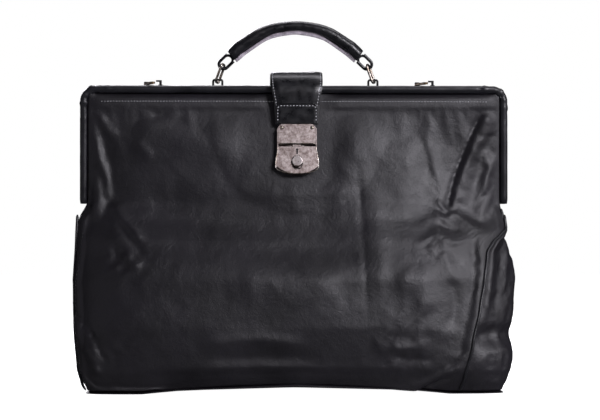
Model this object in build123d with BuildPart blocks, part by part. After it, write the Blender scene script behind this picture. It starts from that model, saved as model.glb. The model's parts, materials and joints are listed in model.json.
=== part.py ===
"""Doctor bag: a soft leather bag hung in two hinged steel jaws, with a carrying handle on the rear jaw,
a strap that flips over the mouth into a sliding lock, and two small swing catches on top.

Frame of the part: +X to the right as one faces the front, -Y out of the front, +Z up, origin on the
ground under the middle of the bag. Lengths are in millimetres.
"""
from build123d import *
import os
from math import cos, radians, sin, tan

os.makedirs("parts", exist_ok=True)

# ---------------------------------------------------------------- driving dimensions
PLAY = 0.1                      # least gap between neighbouring pieces
SKIN_GAP = 0.2                  # between leather, lining and jaws

# jaws
JAW_HALF_WIDTH = 213.5          # to the outside of the legs
JAW_TOP = 304.0
JAW_BAR = 8.0                   # bar size in the plane of the jaw
JAW_DEPTH = 12.0
JAW_GAP = 1.0                   # from the closing plane to each jaw
JAW_CORNER = 16.0
JAW_FOOT = 186.0
JAW_EDGE_ROUND = 3.0
COVER_WALL = 1.6
CHANNEL_WALL = 1.1
HINGE_Z = 188.0
HINGE_EYE_R = 6.0
HINGE_PIN_R = 2.5
HINGE_RUN = 0.06                # radial clearance of the pin in the front plates
HINGE_PLATE = 2.4
HINGE_PLATE_TOP = 216.0
HINGE_PLATE_Y = 8.0
HINGE_PLATE_INNER_Y = 2.0
HINGE_SHOULDER = 4.0
HINGE_EYE_LAP = 0.5
HINGE_PLATE_GAP = 0.3           # between the front and rear plates
HINGE_HEAD_R = 4.3
HINGE_HEAD = 1.6

# bag body
LEATHER = 2.6
LINING = 1.0
PANEL_LEAN = 12.0               # degrees the upper panels lean out from the jaws
PANEL_AT_JAW_Y = 11.5
PANEL_EDGE_SPREAD = 0.02        # how fast the panels' side edges move apart, going down
PANEL_CROWN = 4                 # power of the panels' crowned line
WINDOW_CORNER_EASE = 0.4
PANEL_TOP = JAW_TOP - JAW_BAR - PLAY
UPPER_HALF_WIDTH = JAW_HALF_WIDTH - JAW_BAR - SKIN_GAP
UPPER_BOTTOM = 188.0
LOWER_TOP = 176.0
GUSSET_TOP = 172.0
BASE_ARCH_RISE = 8.0
BASE_ARCH_HALF = 150.0
BASE_THICKNESS = 2.6
BOARD_THICKNESS = 2.4
BOARD_INSET = 7.0
BASE_LINING_INSET = 7.4
LINING_FOOT = 7.0               # linings start this far above the base line
LINING_SHORT = 7.0              # linings stop this far short of the walls' ends
LOWER_LINING_SHORT = 4.2
GUSSET_LINING_TOP = 166.0
GUSSET_LINING_FOOT = 9.0
GUSSET_LINING_SHORT = 3.0
WELT_WIDTH = 2.4
WELT_DEPTH = 2.6

# the gusset tucks in over a ledge, then stands as a web and a V-shaped fold between the legs
LEDGE_Z = 167.0
LEDGE_END = 211.0
LEDGE_DEPTH = 30.0
WEB_DEPTH = 14.0
WEB_TOP = 224.0
FOLD_X = 192.0
FOLD_FOOT = 220.0
FOLD_HEIGHT = 68.0
FOLD_OPEN_X = 204.8
FOLD_OPEN_Y = 7.4
FOLD_NOSE_Y = 1.4
FOLD_NOSE_WALL = 2.2

# height: half width, half depth at the side seams, half depth in the middle
LOWER_SHAPE = {
    0.0: (204.0, 60.0, 64.0),
    22.0: (213.0, 67.0, 75.0),
    65.0: (218.5, 60.0, 76.0),
    110.0: (219.0, 46.0, 69.0),
    150.0: (217.5, 29.0, 56.0),
    LOWER_TOP: (214.5, 20.0, 45.0),
}
UPPER_HEIGHTS = (UPPER_BOTTOM, 215.0, 255.0, PANEL_TOP)

POCKET_WIDTH = 170.0
POCKET_HEIGHT = 60.0
POCKET_Z = 225.0
POCKET_THICKNESS = 1.4
POCKET_CORNER = 8.0
POCKET_OFF_PANEL = 6.4

# strap and lock, both a little to the right of the middle
STRAP_X = 2.0
STRAP_HALF = 26.0
STRAP_END_HALF = 18.2
STRAP_THICKNESS = 4.0
STRAP_ARCH_R = 20.6             # inside of the arch over the jaws
STRAP_ARCH_Z = 293.6
STRAP_OVER_LOCK = 2.4           # strap's inside face above the panel, over the lock
STRAP_REAR_END_Z = 234.0
STRAP_REAR_GAP = 0.5            # rear half's inside face above the rear panel
TONGUE_END_Z = 248.2
PATCH_BOTTOM_Z = 265.2
STRAP_SPLIT_Y = 3.4             # rear half of the arch starts here, clear of the turning end
STRAP_SPLIT_HEIGHT = 12.0
TONGUE_BEND_Z = 281.0           # the tongue's sides turn in towards its end here
TONGUE_BORDER_TOP = 1.6         # tongue showing past the patch's sides, at the bend
TONGUE_BORDER_END = 0.6         # and just above the hasp
TONGUE_STEP = 1.0
TONGUE_MARGIN = 5.0
PATCH_THICKNESS = 1.4
PATCH_HALF = 20.6
PATCH_TOP_Z = 285.0
PATCH_CORNER = 5.0
PATCH_CUT = 1.0
REAR_RIVET_UP = 12.0
REAR_RIVET_SPACING = (34.0, 12.0)
REAR_RIVET_R = 3.2
REAR_RIVET_PROUD = 1.2

LOCK_Z = 238.0                  # height of the lock's own origin, on the front panel
LOCK_TOP = 25.5
LOCK_BOTTOM = -25.3
LOCK_SPLIT = 2.6                # top of the lower case
HASP_BOTTOM = 5.1
LOCK_HALF = 19.5
LOCK_WIDE_HALF = 21.9
LOCK_WIDE_AT = -17.0
LOCK_CORNER = 4.0
LOCK_EDGE_ROUND = 0.8
LOCK_CUT = (60.0, 40.0)         # cutter that takes off the case above its split
LOCK_BASE_BACK = 0.8
LOCK_BASE_FRONT = 2.0
LOCK_FRONT = 7.9
LOCK_WALL = 1.2
LOCK_RIM = 0.9
LOCK_RIM_LOW = 0.4              # rims' tops below the hasp's face
HASP_BACK = 6.4
HASP_RUN = 0.3
HASP_CHAMFER = 0.4
PLUG_V = -2.0
PLUG_R = 3.2
PLUG_RUN = 0.06
PLUG_PROUD = 0.2
KEYHOLE_FLOOR = 5.8
KEYHOLE_R = 0.9
KEYHOLE_SPREAD = 0.8            # keyhole's round and slot either side of the plug's middle
KEYHOLE_SLOT = (0.8, 2.6)
BUTTON_V = -12.3
BUTTON_R = 5.4
BUTTON_WELL_R = 5.7
BUTTON_TRAVEL = 2.5
BUTTON_BACK = 6.0
BUTTON_PROUD = 1.9
BUTTON_ROUND = 0.7
BUTTON_STEM_R = 2.6
BOLT_BACK = 3.2
BOLT_FRONT = 4.4
BOLT_HALF = 7.0
BOLT_LOW = -18.0
BOLT_HIGH = 8.8
BOLT_RUN = 0.4
BOLT_SLOT_OVERCUT = 1.0
BOLT_WINDOW_HALF = 4.9
BOLT_WINDOW_LOW = -6.4
BOLT_WINDOW_HIGH = 7.2
CATCH_TAB_HALF = 4.2
CATCH_TAB_LOW = 3.4
CATCH_TAB_HIGH = 4.5
CATCH_TAB_BACK = 2.3
CATCH_LIP_HIGH = 6.2
CATCH_LIP_THICKNESS = 0.7
CATCH_TAB_FOOT = 0.8
SPRING_LENGTH = 4.6
SPRING_ENDS = 0.6
SPRING_SEAT = 0.2
SPRING_PITCH = 1.0
SPRING_R = 1.1
SPRING_WIRE_R = 0.22
SPRING_U = 5.0
SPRING_W = 3.8
RIVET_U = 14.9
RIVET_V = 22.0
RIVET_R = 1.5
RIVET_PROUD = 0.8
BACK_PLATE_WIDTH = 36.0
BACK_PLATE_HEIGHT = 40.0
BACK_PLATE = 1.2
BACK_PLATE_GAP = 0.5

# handle, over the rear jaw
HANDLE_X = 1.5
HANDLE_Y = 7.0
STAPLE_HALF_SPACING = 78.0
BRIDGE_Z = 310.5
BRIDGE_R = 1.1
STAPLE_HALF = 4.6
STAPLE_CORNER = 1.6
LINK_WIRE_R = 1.3
LINK_HALF = 6.2
LINK_LENGTH = 21.4
LINK_LEAN = 20.0
LINK_TWIST = 18.0
LINK_CORNER = 2.7
LINK_BELOW_BRIDGE = 3.85
GRIP_R = 5.6
GRIP_WALL = 1.7
GRIP_CORE_R = 3.7
GRIP_ARC_R = 63.0
GRIP_SLOPE = 34.0
GRIP_STRAIGHT = 35.0
GRIP_TOP_Z = 364.2
LOOP_OUTER_R = 5.6
LOOP_WALL = 2.2
LOOP_LENGTH = 6.0
LOOP_SLOPE = 44.0
LOOP_MIDDLE_OUT = 5.6
LOOP_HALF_WIDTH = 3.1

# swing catches: where each pivot stands, and its hook from there
CATCH_PIVOTS = {"left": -148.0, "right": 124.0}
CATCH_PIVOT_Y = 6.0
CATCH_HOOK_DX = 14.5
CATCH_HOOK_DY = -11.0
CATCH_Z = 305.2
CATCH_THICKNESS = 2.0
CATCH_LENGTH = 20.0
CATCH_REST = -70.0              # degrees from +X, just off the hook
CATCH_SWING = 32.0              # degrees from rest to the hook
CATCH_HALF = 2.5
CATCH_NOTCH_STEP = 1.5
CATCH_PIN_R = 1.6
CATCH_PIN_RUN = 0.06
CATCH_LIFT = 0.15               # lever's gap from the pivot's foot and head
CATCH_FOOT_R = 2.8
CATCH_HEAD_R = 2.4
CATCH_HEAD = 0.9
HOOK_R = 1.3
HOOK_RUN = 0.35
HOOK_GAP = 0.4                  # beak above the lever
HOOK_BEAK = 1.6
HOOK_BEAK_REACH = 1.6
HOOK_FOOT_R = 2.4
HOOK_FOOT = 0.7

FRONT = -1
REAR = 1
CUT_REACH = 100.0               # cutters reach this far past the bag's middle plane
CUT_MARGIN = 20.0

# ---------------------------------------------------------------- derived planes and sizes
LEAN_SIN = sin(radians(PANEL_LEAN))
LEAN_COS = cos(radians(PANEL_LEAN))
LEAN_TAN = tan(radians(PANEL_LEAN))


def panel_y(z):
    """Distance of the upper panels' middle from the closing plane, at a height between the jaws."""
    return PANEL_AT_JAW_Y + (JAW_TOP - JAW_BAR - z) * LEAN_TAN


lock_plane = Plane(
    origin=(STRAP_X, -panel_y(LOCK_Z), LOCK_Z), x_dir=(1, 0, 0), z_dir=(0, -LEAN_COS, LEAN_SIN)
)
strap_hinge_z = STRAP_ARCH_Z + STRAP_ARCH_R + STRAP_THICKNESS / 2


def lower_size(z):
    """Half width and half depths of the lower bag at one of its stated heights."""
    return LOWER_SHAPE[z]


def upper_size(z):
    """Half width and half depths of the bag between the jaws."""
    edge = PANEL_AT_JAW_Y + (JAW_TOP - JAW_BAR - z) * PANEL_EDGE_SPREAD
    return UPPER_HALF_WIDTH, edge, panel_y(z)


def wall_points(size, side, half_width, inset):
    """Points of a front or rear wall's crowned line, from its left end to its right."""
    full, edge, middle = size
    shares = (-1.0, -0.85, -0.5, 0.0, 0.5, 0.85, 1.0)
    return [
        (
            share * half_width,
            side * (edge + (middle - edge) * (1 - abs(share * half_width / full) ** PANEL_CROWN) - inset),
        )
        for share in shares
    ]


def wall_outline(size, side, inset, thickness, short=0.0):
    """Draws the thin closed outline of a front or rear wall at one height."""
    half_width = size[0] - short
    outer = Spline(*wall_points(size, side, half_width, inset))
    inner = Spline(*wall_points(size, side, half_width, inset + thickness))
    Line(outer @ 0, inner @ 0)
    Line(outer @ 1, inner @ 1)


def bag_outline(size, inset):
    """Draws the bag's whole outline at one height, drawn in by inset."""
    front = Spline(*wall_points(size, FRONT, size[0] - inset, inset))
    rear = Spline(*wall_points(size, REAR, size[0] - inset, inset))
    Line(front @ 0, rear @ 0)
    Line(front @ 1, rear @ 1)


def arch_line(offset):
    """Draws the base's arched line, offset upwards, as three edges from left to right."""
    reach = JAW_HALF_WIDTH + CUT_MARGIN
    left = Line((-reach, offset), (-BASE_ARCH_HALF, offset))
    arch = ThreePointArc(
        (-BASE_ARCH_HALF, offset), (0, offset + BASE_ARCH_RISE), (BASE_ARCH_HALF, offset)
    )
    right = Line((BASE_ARCH_HALF, offset), (reach, offset))
    return left, arch, right


def arched_strip(low, high):
    """Draws a closed strip between two arched lines."""
    bottom = arch_line(low)
    top = arch_line(high)
    Line(bottom[0] @ 0, top[0] @ 0)
    Line(bottom[2] @ 1, top[2] @ 1)


def under_base(height):
    """Draws the closed region below the arched line at this height."""
    top = arch_line(height)
    down = Vector(0, CUT_REACH)
    Polyline(top[0] @ 0, (top[0] @ 0) - down, (top[2] @ 1) - down, top[2] @ 1)


def jaw_band(outset, width, foot):
    """Draws an inverted U of the jaw's path: outset in from its outside, width wide."""
    outer_half = JAW_HALF_WIDTH - outset
    inner_half = outer_half - width
    outer_top = JAW_TOP - outset
    inner_top = outer_top - width
    outer = FilletPolyline(
        (-outer_half, foot), (-outer_half, outer_top), (outer_half, outer_top), (outer_half, foot),
        radius=JAW_CORNER - outset,
    )
    inner = FilletPolyline(
        (-inner_half, foot), (-inner_half, inner_top), (inner_half, inner_top), (inner_half, foot),
        radius=JAW_CORNER - outset - width,
    )
    Line(outer @ 0, inner @ 0)
    Line(outer @ 1, inner @ 1)


def window_line(foot):
    """Draws the line just inside a jaw, from its left foot over the top to its right foot."""
    half = UPPER_HALF_WIDTH - SKIN_GAP
    top = PANEL_TOP - SKIN_GAP
    corner = JAW_CORNER - JAW_BAR + WINDOW_CORNER_EASE
    return FilletPolyline((-half, foot), (-half, top), (half, top), (half, foot), radius=corner)


def finish(piece, label):
    """Names a finished piece and writes it."""
    piece.part.label = label
    export_step(piece.part, f"parts/{label}.step")


# ---------------------------------------------------------------- jaws
core_inset = COVER_WALL
channel_inset = core_inset + CHANNEL_WALL
for name, side in (("front", FRONT), ("rear", REAR)):
    # planes facing the front, from each jaw's rearmost face
    back = JAW_GAP if side == FRONT else -JAW_GAP - JAW_DEPTH

    with BuildPart() as channel:
        with BuildSketch(Plane.XZ.offset(back + core_inset)):
            with BuildLine():
                jaw_band(core_inset, JAW_BAR - 2 * core_inset, JAW_FOOT)
            make_face()
        extrude(amount=JAW_DEPTH - 2 * core_inset)
        with BuildSketch(Plane.XZ.offset(back + channel_inset)):
            with BuildLine():
                jaw_band(channel_inset, JAW_BAR - core_inset - channel_inset, JAW_FOOT)
            make_face()
        extrude(amount=JAW_DEPTH - 2 * channel_inset, mode=Mode.SUBTRACT)
    finish(channel, f"{name}_jaw_channel")

    with BuildPart() as cover:
        with BuildSketch(Plane.XZ.offset(back)):
            with BuildLine():
                jaw_band(0, JAW_BAR, JAW_FOOT)
            make_face()
        extrude(amount=JAW_DEPTH)
        face_edges = cover.faces().filter_by(Plane.XZ).edges()
        long_edges = face_edges.filter_by(lambda edge: edge.center().Z > JAW_FOOT + PLAY)
        fillet(long_edges, JAW_EDGE_ROUND)
        with BuildSketch(Plane.XZ.offset(back + core_inset)):
            with BuildLine():
                jaw_band(core_inset, JAW_BAR - 2 * core_inset, JAW_FOOT)
            make_face()
        extrude(amount=JAW_DEPTH - 2 * core_inset, mode=Mode.SUBTRACT)
    finish(cover, f"{name}_jaw_cover")

# ---------------------------------------------------------------- jaw hinges
leg_inside = JAW_HALF_WIDTH - JAW_BAR
front_plate_x = leg_inside - PLAY - HINGE_PLATE
rear_plate_x = front_plate_x - HINGE_PLATE_GAP - HINGE_PLATE
plate_starts = {"front": front_plate_x, "rear": rear_plate_x}
for name, side in (("front", FRONT), ("rear", REAR)):
    bore = HINGE_PIN_R + (HINGE_RUN if side == FRONT else 0)
    with BuildPart() as plates:
        with BuildSketch(Plane.YZ.offset(plate_starts[name])):
            with Locations((0, HINGE_Z)):
                Circle(HINGE_EYE_R)
            with BuildLine():
                Polyline(
                    (0, HINGE_Z - HINGE_EYE_R),
                    (side * HINGE_PLATE_Y, HINGE_Z + HINGE_SHOULDER),
                    (side * HINGE_PLATE_Y, HINGE_PLATE_TOP),
                    (side * HINGE_PLATE_INNER_Y, HINGE_PLATE_TOP),
                    (side * HINGE_PLATE_INNER_Y, HINGE_Z + HINGE_EYE_R + HINGE_PLATE_INNER_Y),
                    (0, HINGE_Z + HINGE_EYE_R - HINGE_EYE_LAP),
                    close=True,
                )
            make_face()
            with Locations((0, HINGE_Z)):
                Circle(bore, mode=Mode.SUBTRACT)
        extrude(amount=HINGE_PLATE)
        mirror(about=Plane.YZ)
    finish(plates, f"{name}_hinge_plates")

with BuildPart() as pins:
    with BuildSketch(Plane.YZ.offset(rear_plate_x - PLAY)):
        with Locations((0, HINGE_Z)):
            Circle(HINGE_PIN_R)
    extrude(amount=leg_inside - rear_plate_x)
    with BuildSketch(Plane.YZ.offset(rear_plate_x - PLAY)):
        with Locations((0, HINGE_Z)):
            Circle(HINGE_HEAD_R)
    extrude(amount=-HINGE_HEAD)
    mirror(about=Plane.YZ)
finish(pins, "hinge_pins")

# ---------------------------------------------------------------- leather walls below the hinges
lower_walls = (
    ("front_panel_lower", FRONT, 0.0, LEATHER, 0.0),
    ("front_lining_lower", FRONT, LEATHER + SKIN_GAP, LINING, LOWER_LINING_SHORT),
)
for name, side, inset, thickness, short in lower_walls:
    with BuildPart() as wall:
        for z in LOWER_SHAPE:
            with BuildSketch(Plane.XY.offset(z)):
                with BuildLine():
                    wall_outline(lower_size(z), side, inset, thickness, short)
                make_face()
        loft(ruled=True)
        with BuildSketch(Plane.XZ.offset(-CUT_REACH)):
            with BuildLine():
                under_base(BASE_THICKNESS if inset == 0 else LINING_FOOT)
            make_face()
        extrude(amount=2 * CUT_REACH, mode=Mode.SUBTRACT)
    finish(wall, name)

# ---------------------------------------------------------------- leather walls between the jaws
for name, inset, thickness, short in (
    ("front_panel_upper", 0.0, LEATHER, 0.0),
    ("front_lining_upper", LEATHER + SKIN_GAP, LINING, LINING_SHORT),
):
    with BuildPart() as wall:
        for z in UPPER_HEIGHTS:
            with BuildSketch(Plane.XY.offset(z)):
                with BuildLine():
                    wall_outline(upper_size(z), FRONT, inset, thickness, short)
                make_face()
        loft(ruled=True)
        with BuildSketch(Plane.XZ.offset(-CUT_REACH)):
            with BuildLine():
                opening = window_line(UPPER_BOTTOM - CUT_MARGIN)
                Line(opening @ 0, opening @ 1)
            make_face()
        extrude(amount=2 * CUT_REACH, mode=Mode.INTERSECT)
    finish(wall, name)

# ---------------------------------------------------------------- rear wall, whole
for name, inset, thickness, short in (
    ("rear_panel", 0.0, LEATHER, 0.0),
    ("rear_lining", LEATHER + SKIN_GAP, LINING, LINING_SHORT),
):
    with BuildPart() as wall:
        for z in (*LOWER_SHAPE, *UPPER_HEIGHTS):
            size = lower_size(z) if z in LOWER_SHAPE else upper_size(z)
            with BuildSketch(Plane.XY.offset(z)):
                with BuildLine():
                    wall_outline(size, REAR, inset, thickness, short)
                make_face()
        loft(ruled=True)
        with BuildSketch(Plane.XZ.offset(-CUT_REACH)):
            with BuildLine():
                under_base(BASE_THICKNESS if inset == 0 else LINING_FOOT)
            make_face()
        extrude(amount=2 * CUT_REACH, mode=Mode.SUBTRACT)
        with BuildSketch(Plane.XZ.offset(-CUT_REACH)):
            with BuildLine():
                outline = window_line(LOWER_TOP)
                far = JAW_HALF_WIDTH + CUT_MARGIN
                Polyline(
                    outline @ 0, (-far, LOWER_TOP), (-far, -CUT_MARGIN),
                    (far, -CUT_MARGIN), (far, LOWER_TOP), outline @ 1,
                )
            make_face()
        extrude(amount=2 * CUT_REACH, mode=Mode.INTERSECT)
    finish(wall, name)

# ---------------------------------------------------------------- gussets, their folds and seam welts
with BuildPart() as trim_top:
    with BuildSketch(Plane.XY.offset(GUSSET_TOP)):
        Rectangle(6 * CUT_REACH, 4 * CUT_REACH)
    extrude(amount=CUT_REACH)
with BuildPart() as trim_base:
    with BuildSketch(Plane.XZ.offset(-CUT_REACH)):
        with BuildLine():
            under_base(BASE_THICKNESS)
        make_face()
    extrude(amount=2 * CUT_REACH)

for name, side in (("left", -1), ("right", 1)):
    with BuildPart() as gusset:
        for z in LOWER_SHAPE:
            half, edge, _ = lower_size(z)
            with BuildSketch(Plane.XY.offset(z)):
                with Locations((side * (half - LEATHER / 2), 0)):
                    Rectangle(LEATHER, 2 * (edge - LEATHER - SKIN_GAP))
        loft(ruled=True)
        add(trim_top.part, mode=Mode.SUBTRACT)
        add(trim_base.part, mode=Mode.SUBTRACT)
    finish(gusset, f"gusset_{name}")

    with BuildPart() as gusset_lining:
        for z in LOWER_SHAPE:
            half, edge, _ = lower_size(z)
            with BuildSketch(Plane.XY.offset(z)):
                with Locations((side * (half - LEATHER - SKIN_GAP - LINING / 2), 0)):
                    Rectangle(LINING, 2 * (edge - LEATHER - LINING - GUSSET_LINING_SHORT))
        loft(ruled=True)
        with BuildSketch(Plane.XY.offset(GUSSET_LINING_TOP)):
            Rectangle(6 * CUT_REACH, 4 * CUT_REACH)
        extrude(amount=CUT_REACH, mode=Mode.SUBTRACT)
        with BuildSketch(Plane.XY.offset(GUSSET_LINING_FOOT)):
            Rectangle(6 * CUT_REACH, 4 * CUT_REACH)
        extrude(amount=-CUT_REACH, mode=Mode.SUBTRACT)
    finish(gusset_lining, f"gusset_lining_{name}")

    with BuildPart() as fold:
        with Locations((side * (FOLD_X + LEDGE_END) / 2, 0, LEDGE_Z + LEATHER / 2)):
            Box(LEDGE_END - FOLD_X, LEDGE_DEPTH, LEATHER)
        with Locations((side * (FOLD_X - LEATHER / 2), 0, (LEDGE_Z + WEB_TOP) / 2)):
            Box(LEATHER, WEB_DEPTH, WEB_TOP - LEDGE_Z)
        with BuildSketch(Plane.XY.offset(FOLD_FOOT)):
            with BuildLine():
                Polyline(
                    (side * FOLD_OPEN_X, FOLD_OPEN_Y),
                    (side * (FOLD_X - LEATHER), FOLD_NOSE_Y),
                    (side * (FOLD_X - LEATHER), -FOLD_NOSE_Y),
                    (side * FOLD_OPEN_X, -FOLD_OPEN_Y),
                    (side * FOLD_OPEN_X, LEATHER - FOLD_OPEN_Y),
                    (side * (FOLD_X - LEATHER + FOLD_NOSE_WALL), 0),
                    (side * FOLD_OPEN_X, FOLD_OPEN_Y - LEATHER),
                    close=True,
                )
            make_face()
        extrude(amount=FOLD_HEIGHT)
    finish(fold, f"gusset_fold_{name}")

for name, side in (("front", FRONT), ("rear", REAR)):
    with BuildPart() as welts:
        for end in (-1, 1):
            for z in LOWER_SHAPE:
                half, edge, _ = lower_size(z)
                with BuildSketch(Plane.XY.offset(z)):
                    with Locations((end * (half + WELT_WIDTH / 2 + PLAY), side * edge)):
                        Rectangle(WELT_WIDTH, WELT_DEPTH)
            loft(ruled=True)
        add(trim_top.part, mode=Mode.SUBTRACT)
        add(trim_base.part, mode=Mode.SUBTRACT)
    finish(welts, f"{name}_seam_welts")

# ---------------------------------------------------------------- base
board_top = BASE_THICKNESS + BOARD_THICKNESS
for name, low, high, inset in (
    ("base_panel", 0.0, BASE_THICKNESS, 0.0),
    ("base_board", BASE_THICKNESS, board_top, BOARD_INSET),
    ("base_lining", board_top, board_top + LINING, BASE_LINING_INSET),
):
    with BuildPart() as layer:
        with BuildSketch():
            with BuildLine():
                bag_outline(lower_size(0.0), inset)
            make_face()
        extrude(amount=CUT_REACH)
        with BuildSketch(Plane.XZ.offset(-CUT_REACH)):
            with BuildLine():
                arched_strip(low, high)
            make_face()
        extrude(amount=2 * CUT_REACH, mode=Mode.INTERSECT)
    finish(layer, name)

# inside pocket, flat against the rear lining between the jaws
pocket_plane = Plane(
    origin=(0, panel_y(POCKET_Z) - POCKET_OFF_PANEL, POCKET_Z),
    x_dir=(1, 0, 0),
    z_dir=(0, -LEAN_COS, -LEAN_SIN),
)
with BuildPart() as pocket:
    with BuildSketch(pocket_plane):
        RectangleRounded(POCKET_WIDTH, POCKET_HEIGHT, POCKET_CORNER)
    extrude(amount=POCKET_THICKNESS)
finish(pocket, "inner_pocket")

# ---------------------------------------------------------------- strap over the mouth
def strap_side(inner_r, over_lock, foot_z, side):
    """Draws one face of half the strap: from the top of the arch down to the wall, then along it."""
    arch = RadiusArc(
        (0, STRAP_ARCH_Z + inner_r), (side * inner_r, STRAP_ARCH_Z), side * inner_r
    )
    # where the upright run meets the line that lies over_lock above the leaning wall
    over_wall = inner_r - PANEL_AT_JAW_Y
    bend_z = JAW_TOP - JAW_BAR - (over_wall - over_lock / LEAN_COS) / LEAN_TAN
    foot_y = panel_y(foot_z) + over_lock / LEAN_COS
    upright = Line((side * inner_r, STRAP_ARCH_Z), (side * inner_r, bend_z))
    leaning = Line((side * inner_r, bend_z), (side * foot_y, foot_z))
    return arch, upright, leaning


def strap_profile(side, low, high, foot_z):
    """Draws the strap's closed side view between two heights above the wall."""
    inner_r = STRAP_ARCH_R
    inner = strap_side(inner_r, low, foot_z, side)
    outer = strap_side(inner_r + high - low, high, foot_z, side)
    Line(inner[0] @ 0, outer[0] @ 0)
    Line(inner[2] @ 1, outer[2] @ 1)


# the tongue's half width, from the arch down
tongue_halves = (
    (strap_hinge_z + TONGUE_MARGIN, STRAP_HALF),
    (JAW_TOP, STRAP_HALF),
    (TONGUE_BEND_Z, PATCH_HALF + TONGUE_BORDER_TOP),
    (LOCK_Z + LOCK_TOP + TONGUE_STEP, PATCH_HALF + TONGUE_BORDER_END),
    (LOCK_Z + LOCK_TOP - TONGUE_STEP, STRAP_END_HALF),
    (TONGUE_END_Z - TONGUE_MARGIN, STRAP_END_HALF),
)
with BuildPart() as tongue:
    with BuildSketch(Plane.YZ.offset(STRAP_X - STRAP_HALF)):
        with BuildLine():
            strap_profile(FRONT, STRAP_OVER_LOCK, STRAP_OVER_LOCK + STRAP_THICKNESS, TONGUE_END_Z)
        make_face()
        with Locations((0, strap_hinge_z)):
            Circle(STRAP_THICKNESS / 2)
    extrude(amount=2 * STRAP_HALF)
    with BuildSketch(Plane.XZ.offset(-CUT_REACH)):
        with BuildLine():
            Polyline(
                *[(STRAP_X - half, z) for z, half in tongue_halves],
                *[(STRAP_X + half, z) for z, half in reversed(tongue_halves)],
                close=True,
            )
        make_face()
    extrude(amount=2 * CUT_REACH, mode=Mode.INTERSECT)
finish(tongue, "strap_tongue")

with BuildPart() as patch:
    with BuildSketch(Plane.YZ.offset(STRAP_X - PATCH_HALF)):
        with BuildLine():
            strap_profile(
                FRONT, STRAP_OVER_LOCK, STRAP_OVER_LOCK + STRAP_THICKNESS + PATCH_THICKNESS, LOCK_Z
            )
        make_face()
    extrude(amount=2 * PATCH_HALF)
    with BuildSketch(Plane.YZ.offset(STRAP_X - PATCH_HALF)):
        with BuildLine():
            strap_profile(
                FRONT, STRAP_OVER_LOCK - PATCH_CUT, STRAP_OVER_LOCK + STRAP_THICKNESS,
                LOCK_Z - PATCH_CUT,
            )
        make_face()
    extrude(amount=2 * PATCH_HALF, mode=Mode.SUBTRACT)
    with BuildSketch(Plane.XZ.offset(-CUT_REACH)):
        with BuildLine():
            corners = FilletPolyline(
                (STRAP_X - PATCH_HALF, PATCH_BOTTOM_Z),
                (STRAP_X - PATCH_HALF, PATCH_TOP_Z),
                (STRAP_X + PATCH_HALF, PATCH_TOP_Z),
                (STRAP_X + PATCH_HALF, PATCH_BOTTOM_Z),
                radius=PATCH_CORNER,
            )
            Line(corners @ 0, corners @ 1)
        make_face()
    extrude(amount=2 * CUT_REACH, mode=Mode.INTERSECT)
finish(patch, "strap_patch")

with BuildPart() as strap_root:
    with BuildSketch(Plane.YZ.offset(STRAP_X - STRAP_HALF)):
        with BuildLine():
            strap_profile(REAR, STRAP_REAR_GAP, STRAP_REAR_GAP + STRAP_THICKNESS, STRAP_REAR_END_Z)
        make_face()
        with Locations((0, strap_hinge_z)):
            Rectangle(2 * STRAP_SPLIT_Y, STRAP_SPLIT_HEIGHT, mode=Mode.SUBTRACT)
    extrude(amount=2 * STRAP_HALF)
finish(strap_root, "strap_root")

rear_rivet_z = STRAP_REAR_END_Z + REAR_RIVET_UP
rear_rivet_plane = Plane(
    origin=(STRAP_X, panel_y(rear_rivet_z), rear_rivet_z),
    x_dir=(-1, 0, 0),
    z_dir=(0, LEAN_COS, LEAN_SIN),
)
with BuildPart() as strap_rivets:
    with BuildSketch(rear_rivet_plane.offset(STRAP_REAR_GAP + STRAP_THICKNESS)):
        with GridLocations(*REAR_RIVET_SPACING, 2, 2):
            Circle(REAR_RIVET_R)
    extrude(amount=REAR_RIVET_PROUD)
finish(strap_rivets, "strap_anchor_rivets")

# ---------------------------------------------------------------- hasp on the strap's end
hasp_half = LOCK_HALF - LOCK_RIM - HASP_RUN
with BuildPart() as hasp:
    with BuildSketch(lock_plane.offset(HASP_BACK)):
        with BuildLine():
            top = FilletPolyline(
                (-hasp_half, HASP_BOTTOM), (-hasp_half, LOCK_TOP), (hasp_half, LOCK_TOP),
                (hasp_half, HASP_BOTTOM), radius=LOCK_CORNER,
            )
            Line(top @ 0, top @ 1)
        make_face()
    extrude(amount=LOCK_FRONT - HASP_BACK)
    chamfer(hasp.faces().sort_by(Axis.Y)[0].edges(), HASP_CHAMFER)
finish(hasp, "hasp_plate")

with BuildPart() as hasp_rivets:
    with BuildSketch(lock_plane.offset(LOCK_FRONT)):
        with Locations((-RIVET_U, RIVET_V), (RIVET_U, RIVET_V)):
            Circle(RIVET_R)
    extrude(amount=RIVET_PROUD)
finish(hasp_rivets, "hasp_rivets")

# catch: a tab under the hasp's lower edge, with a lip turned up behind the bolt's bar
with BuildPart() as catch:
    with BuildSketch(lock_plane.offset(CATCH_TAB_BACK)):
        with Locations((0, (CATCH_TAB_LOW + CATCH_TAB_HIGH) / 2)):
            Rectangle(2 * CATCH_TAB_HALF, CATCH_TAB_HIGH - CATCH_TAB_LOW)
    extrude(amount=HASP_BACK - CATCH_TAB_BACK)
    with BuildSketch(lock_plane.offset(CATCH_TAB_BACK)):
        with Locations((0, (CATCH_TAB_LOW + CATCH_LIP_HIGH) / 2)):
            Rectangle(2 * CATCH_TAB_HALF, CATCH_LIP_HIGH - CATCH_TAB_LOW)
    extrude(amount=CATCH_LIP_THICKNESS)
    with BuildSketch(lock_plane.offset(HASP_BACK)):
        with Locations((0, (CATCH_TAB_LOW + HASP_BOTTOM) / 2)):
            Rectangle(2 * CATCH_TAB_HALF, HASP_BOTTOM - CATCH_TAB_LOW)
    extrude(amount=-CATCH_TAB_FOOT)
finish(catch, "hasp_catch")

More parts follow.
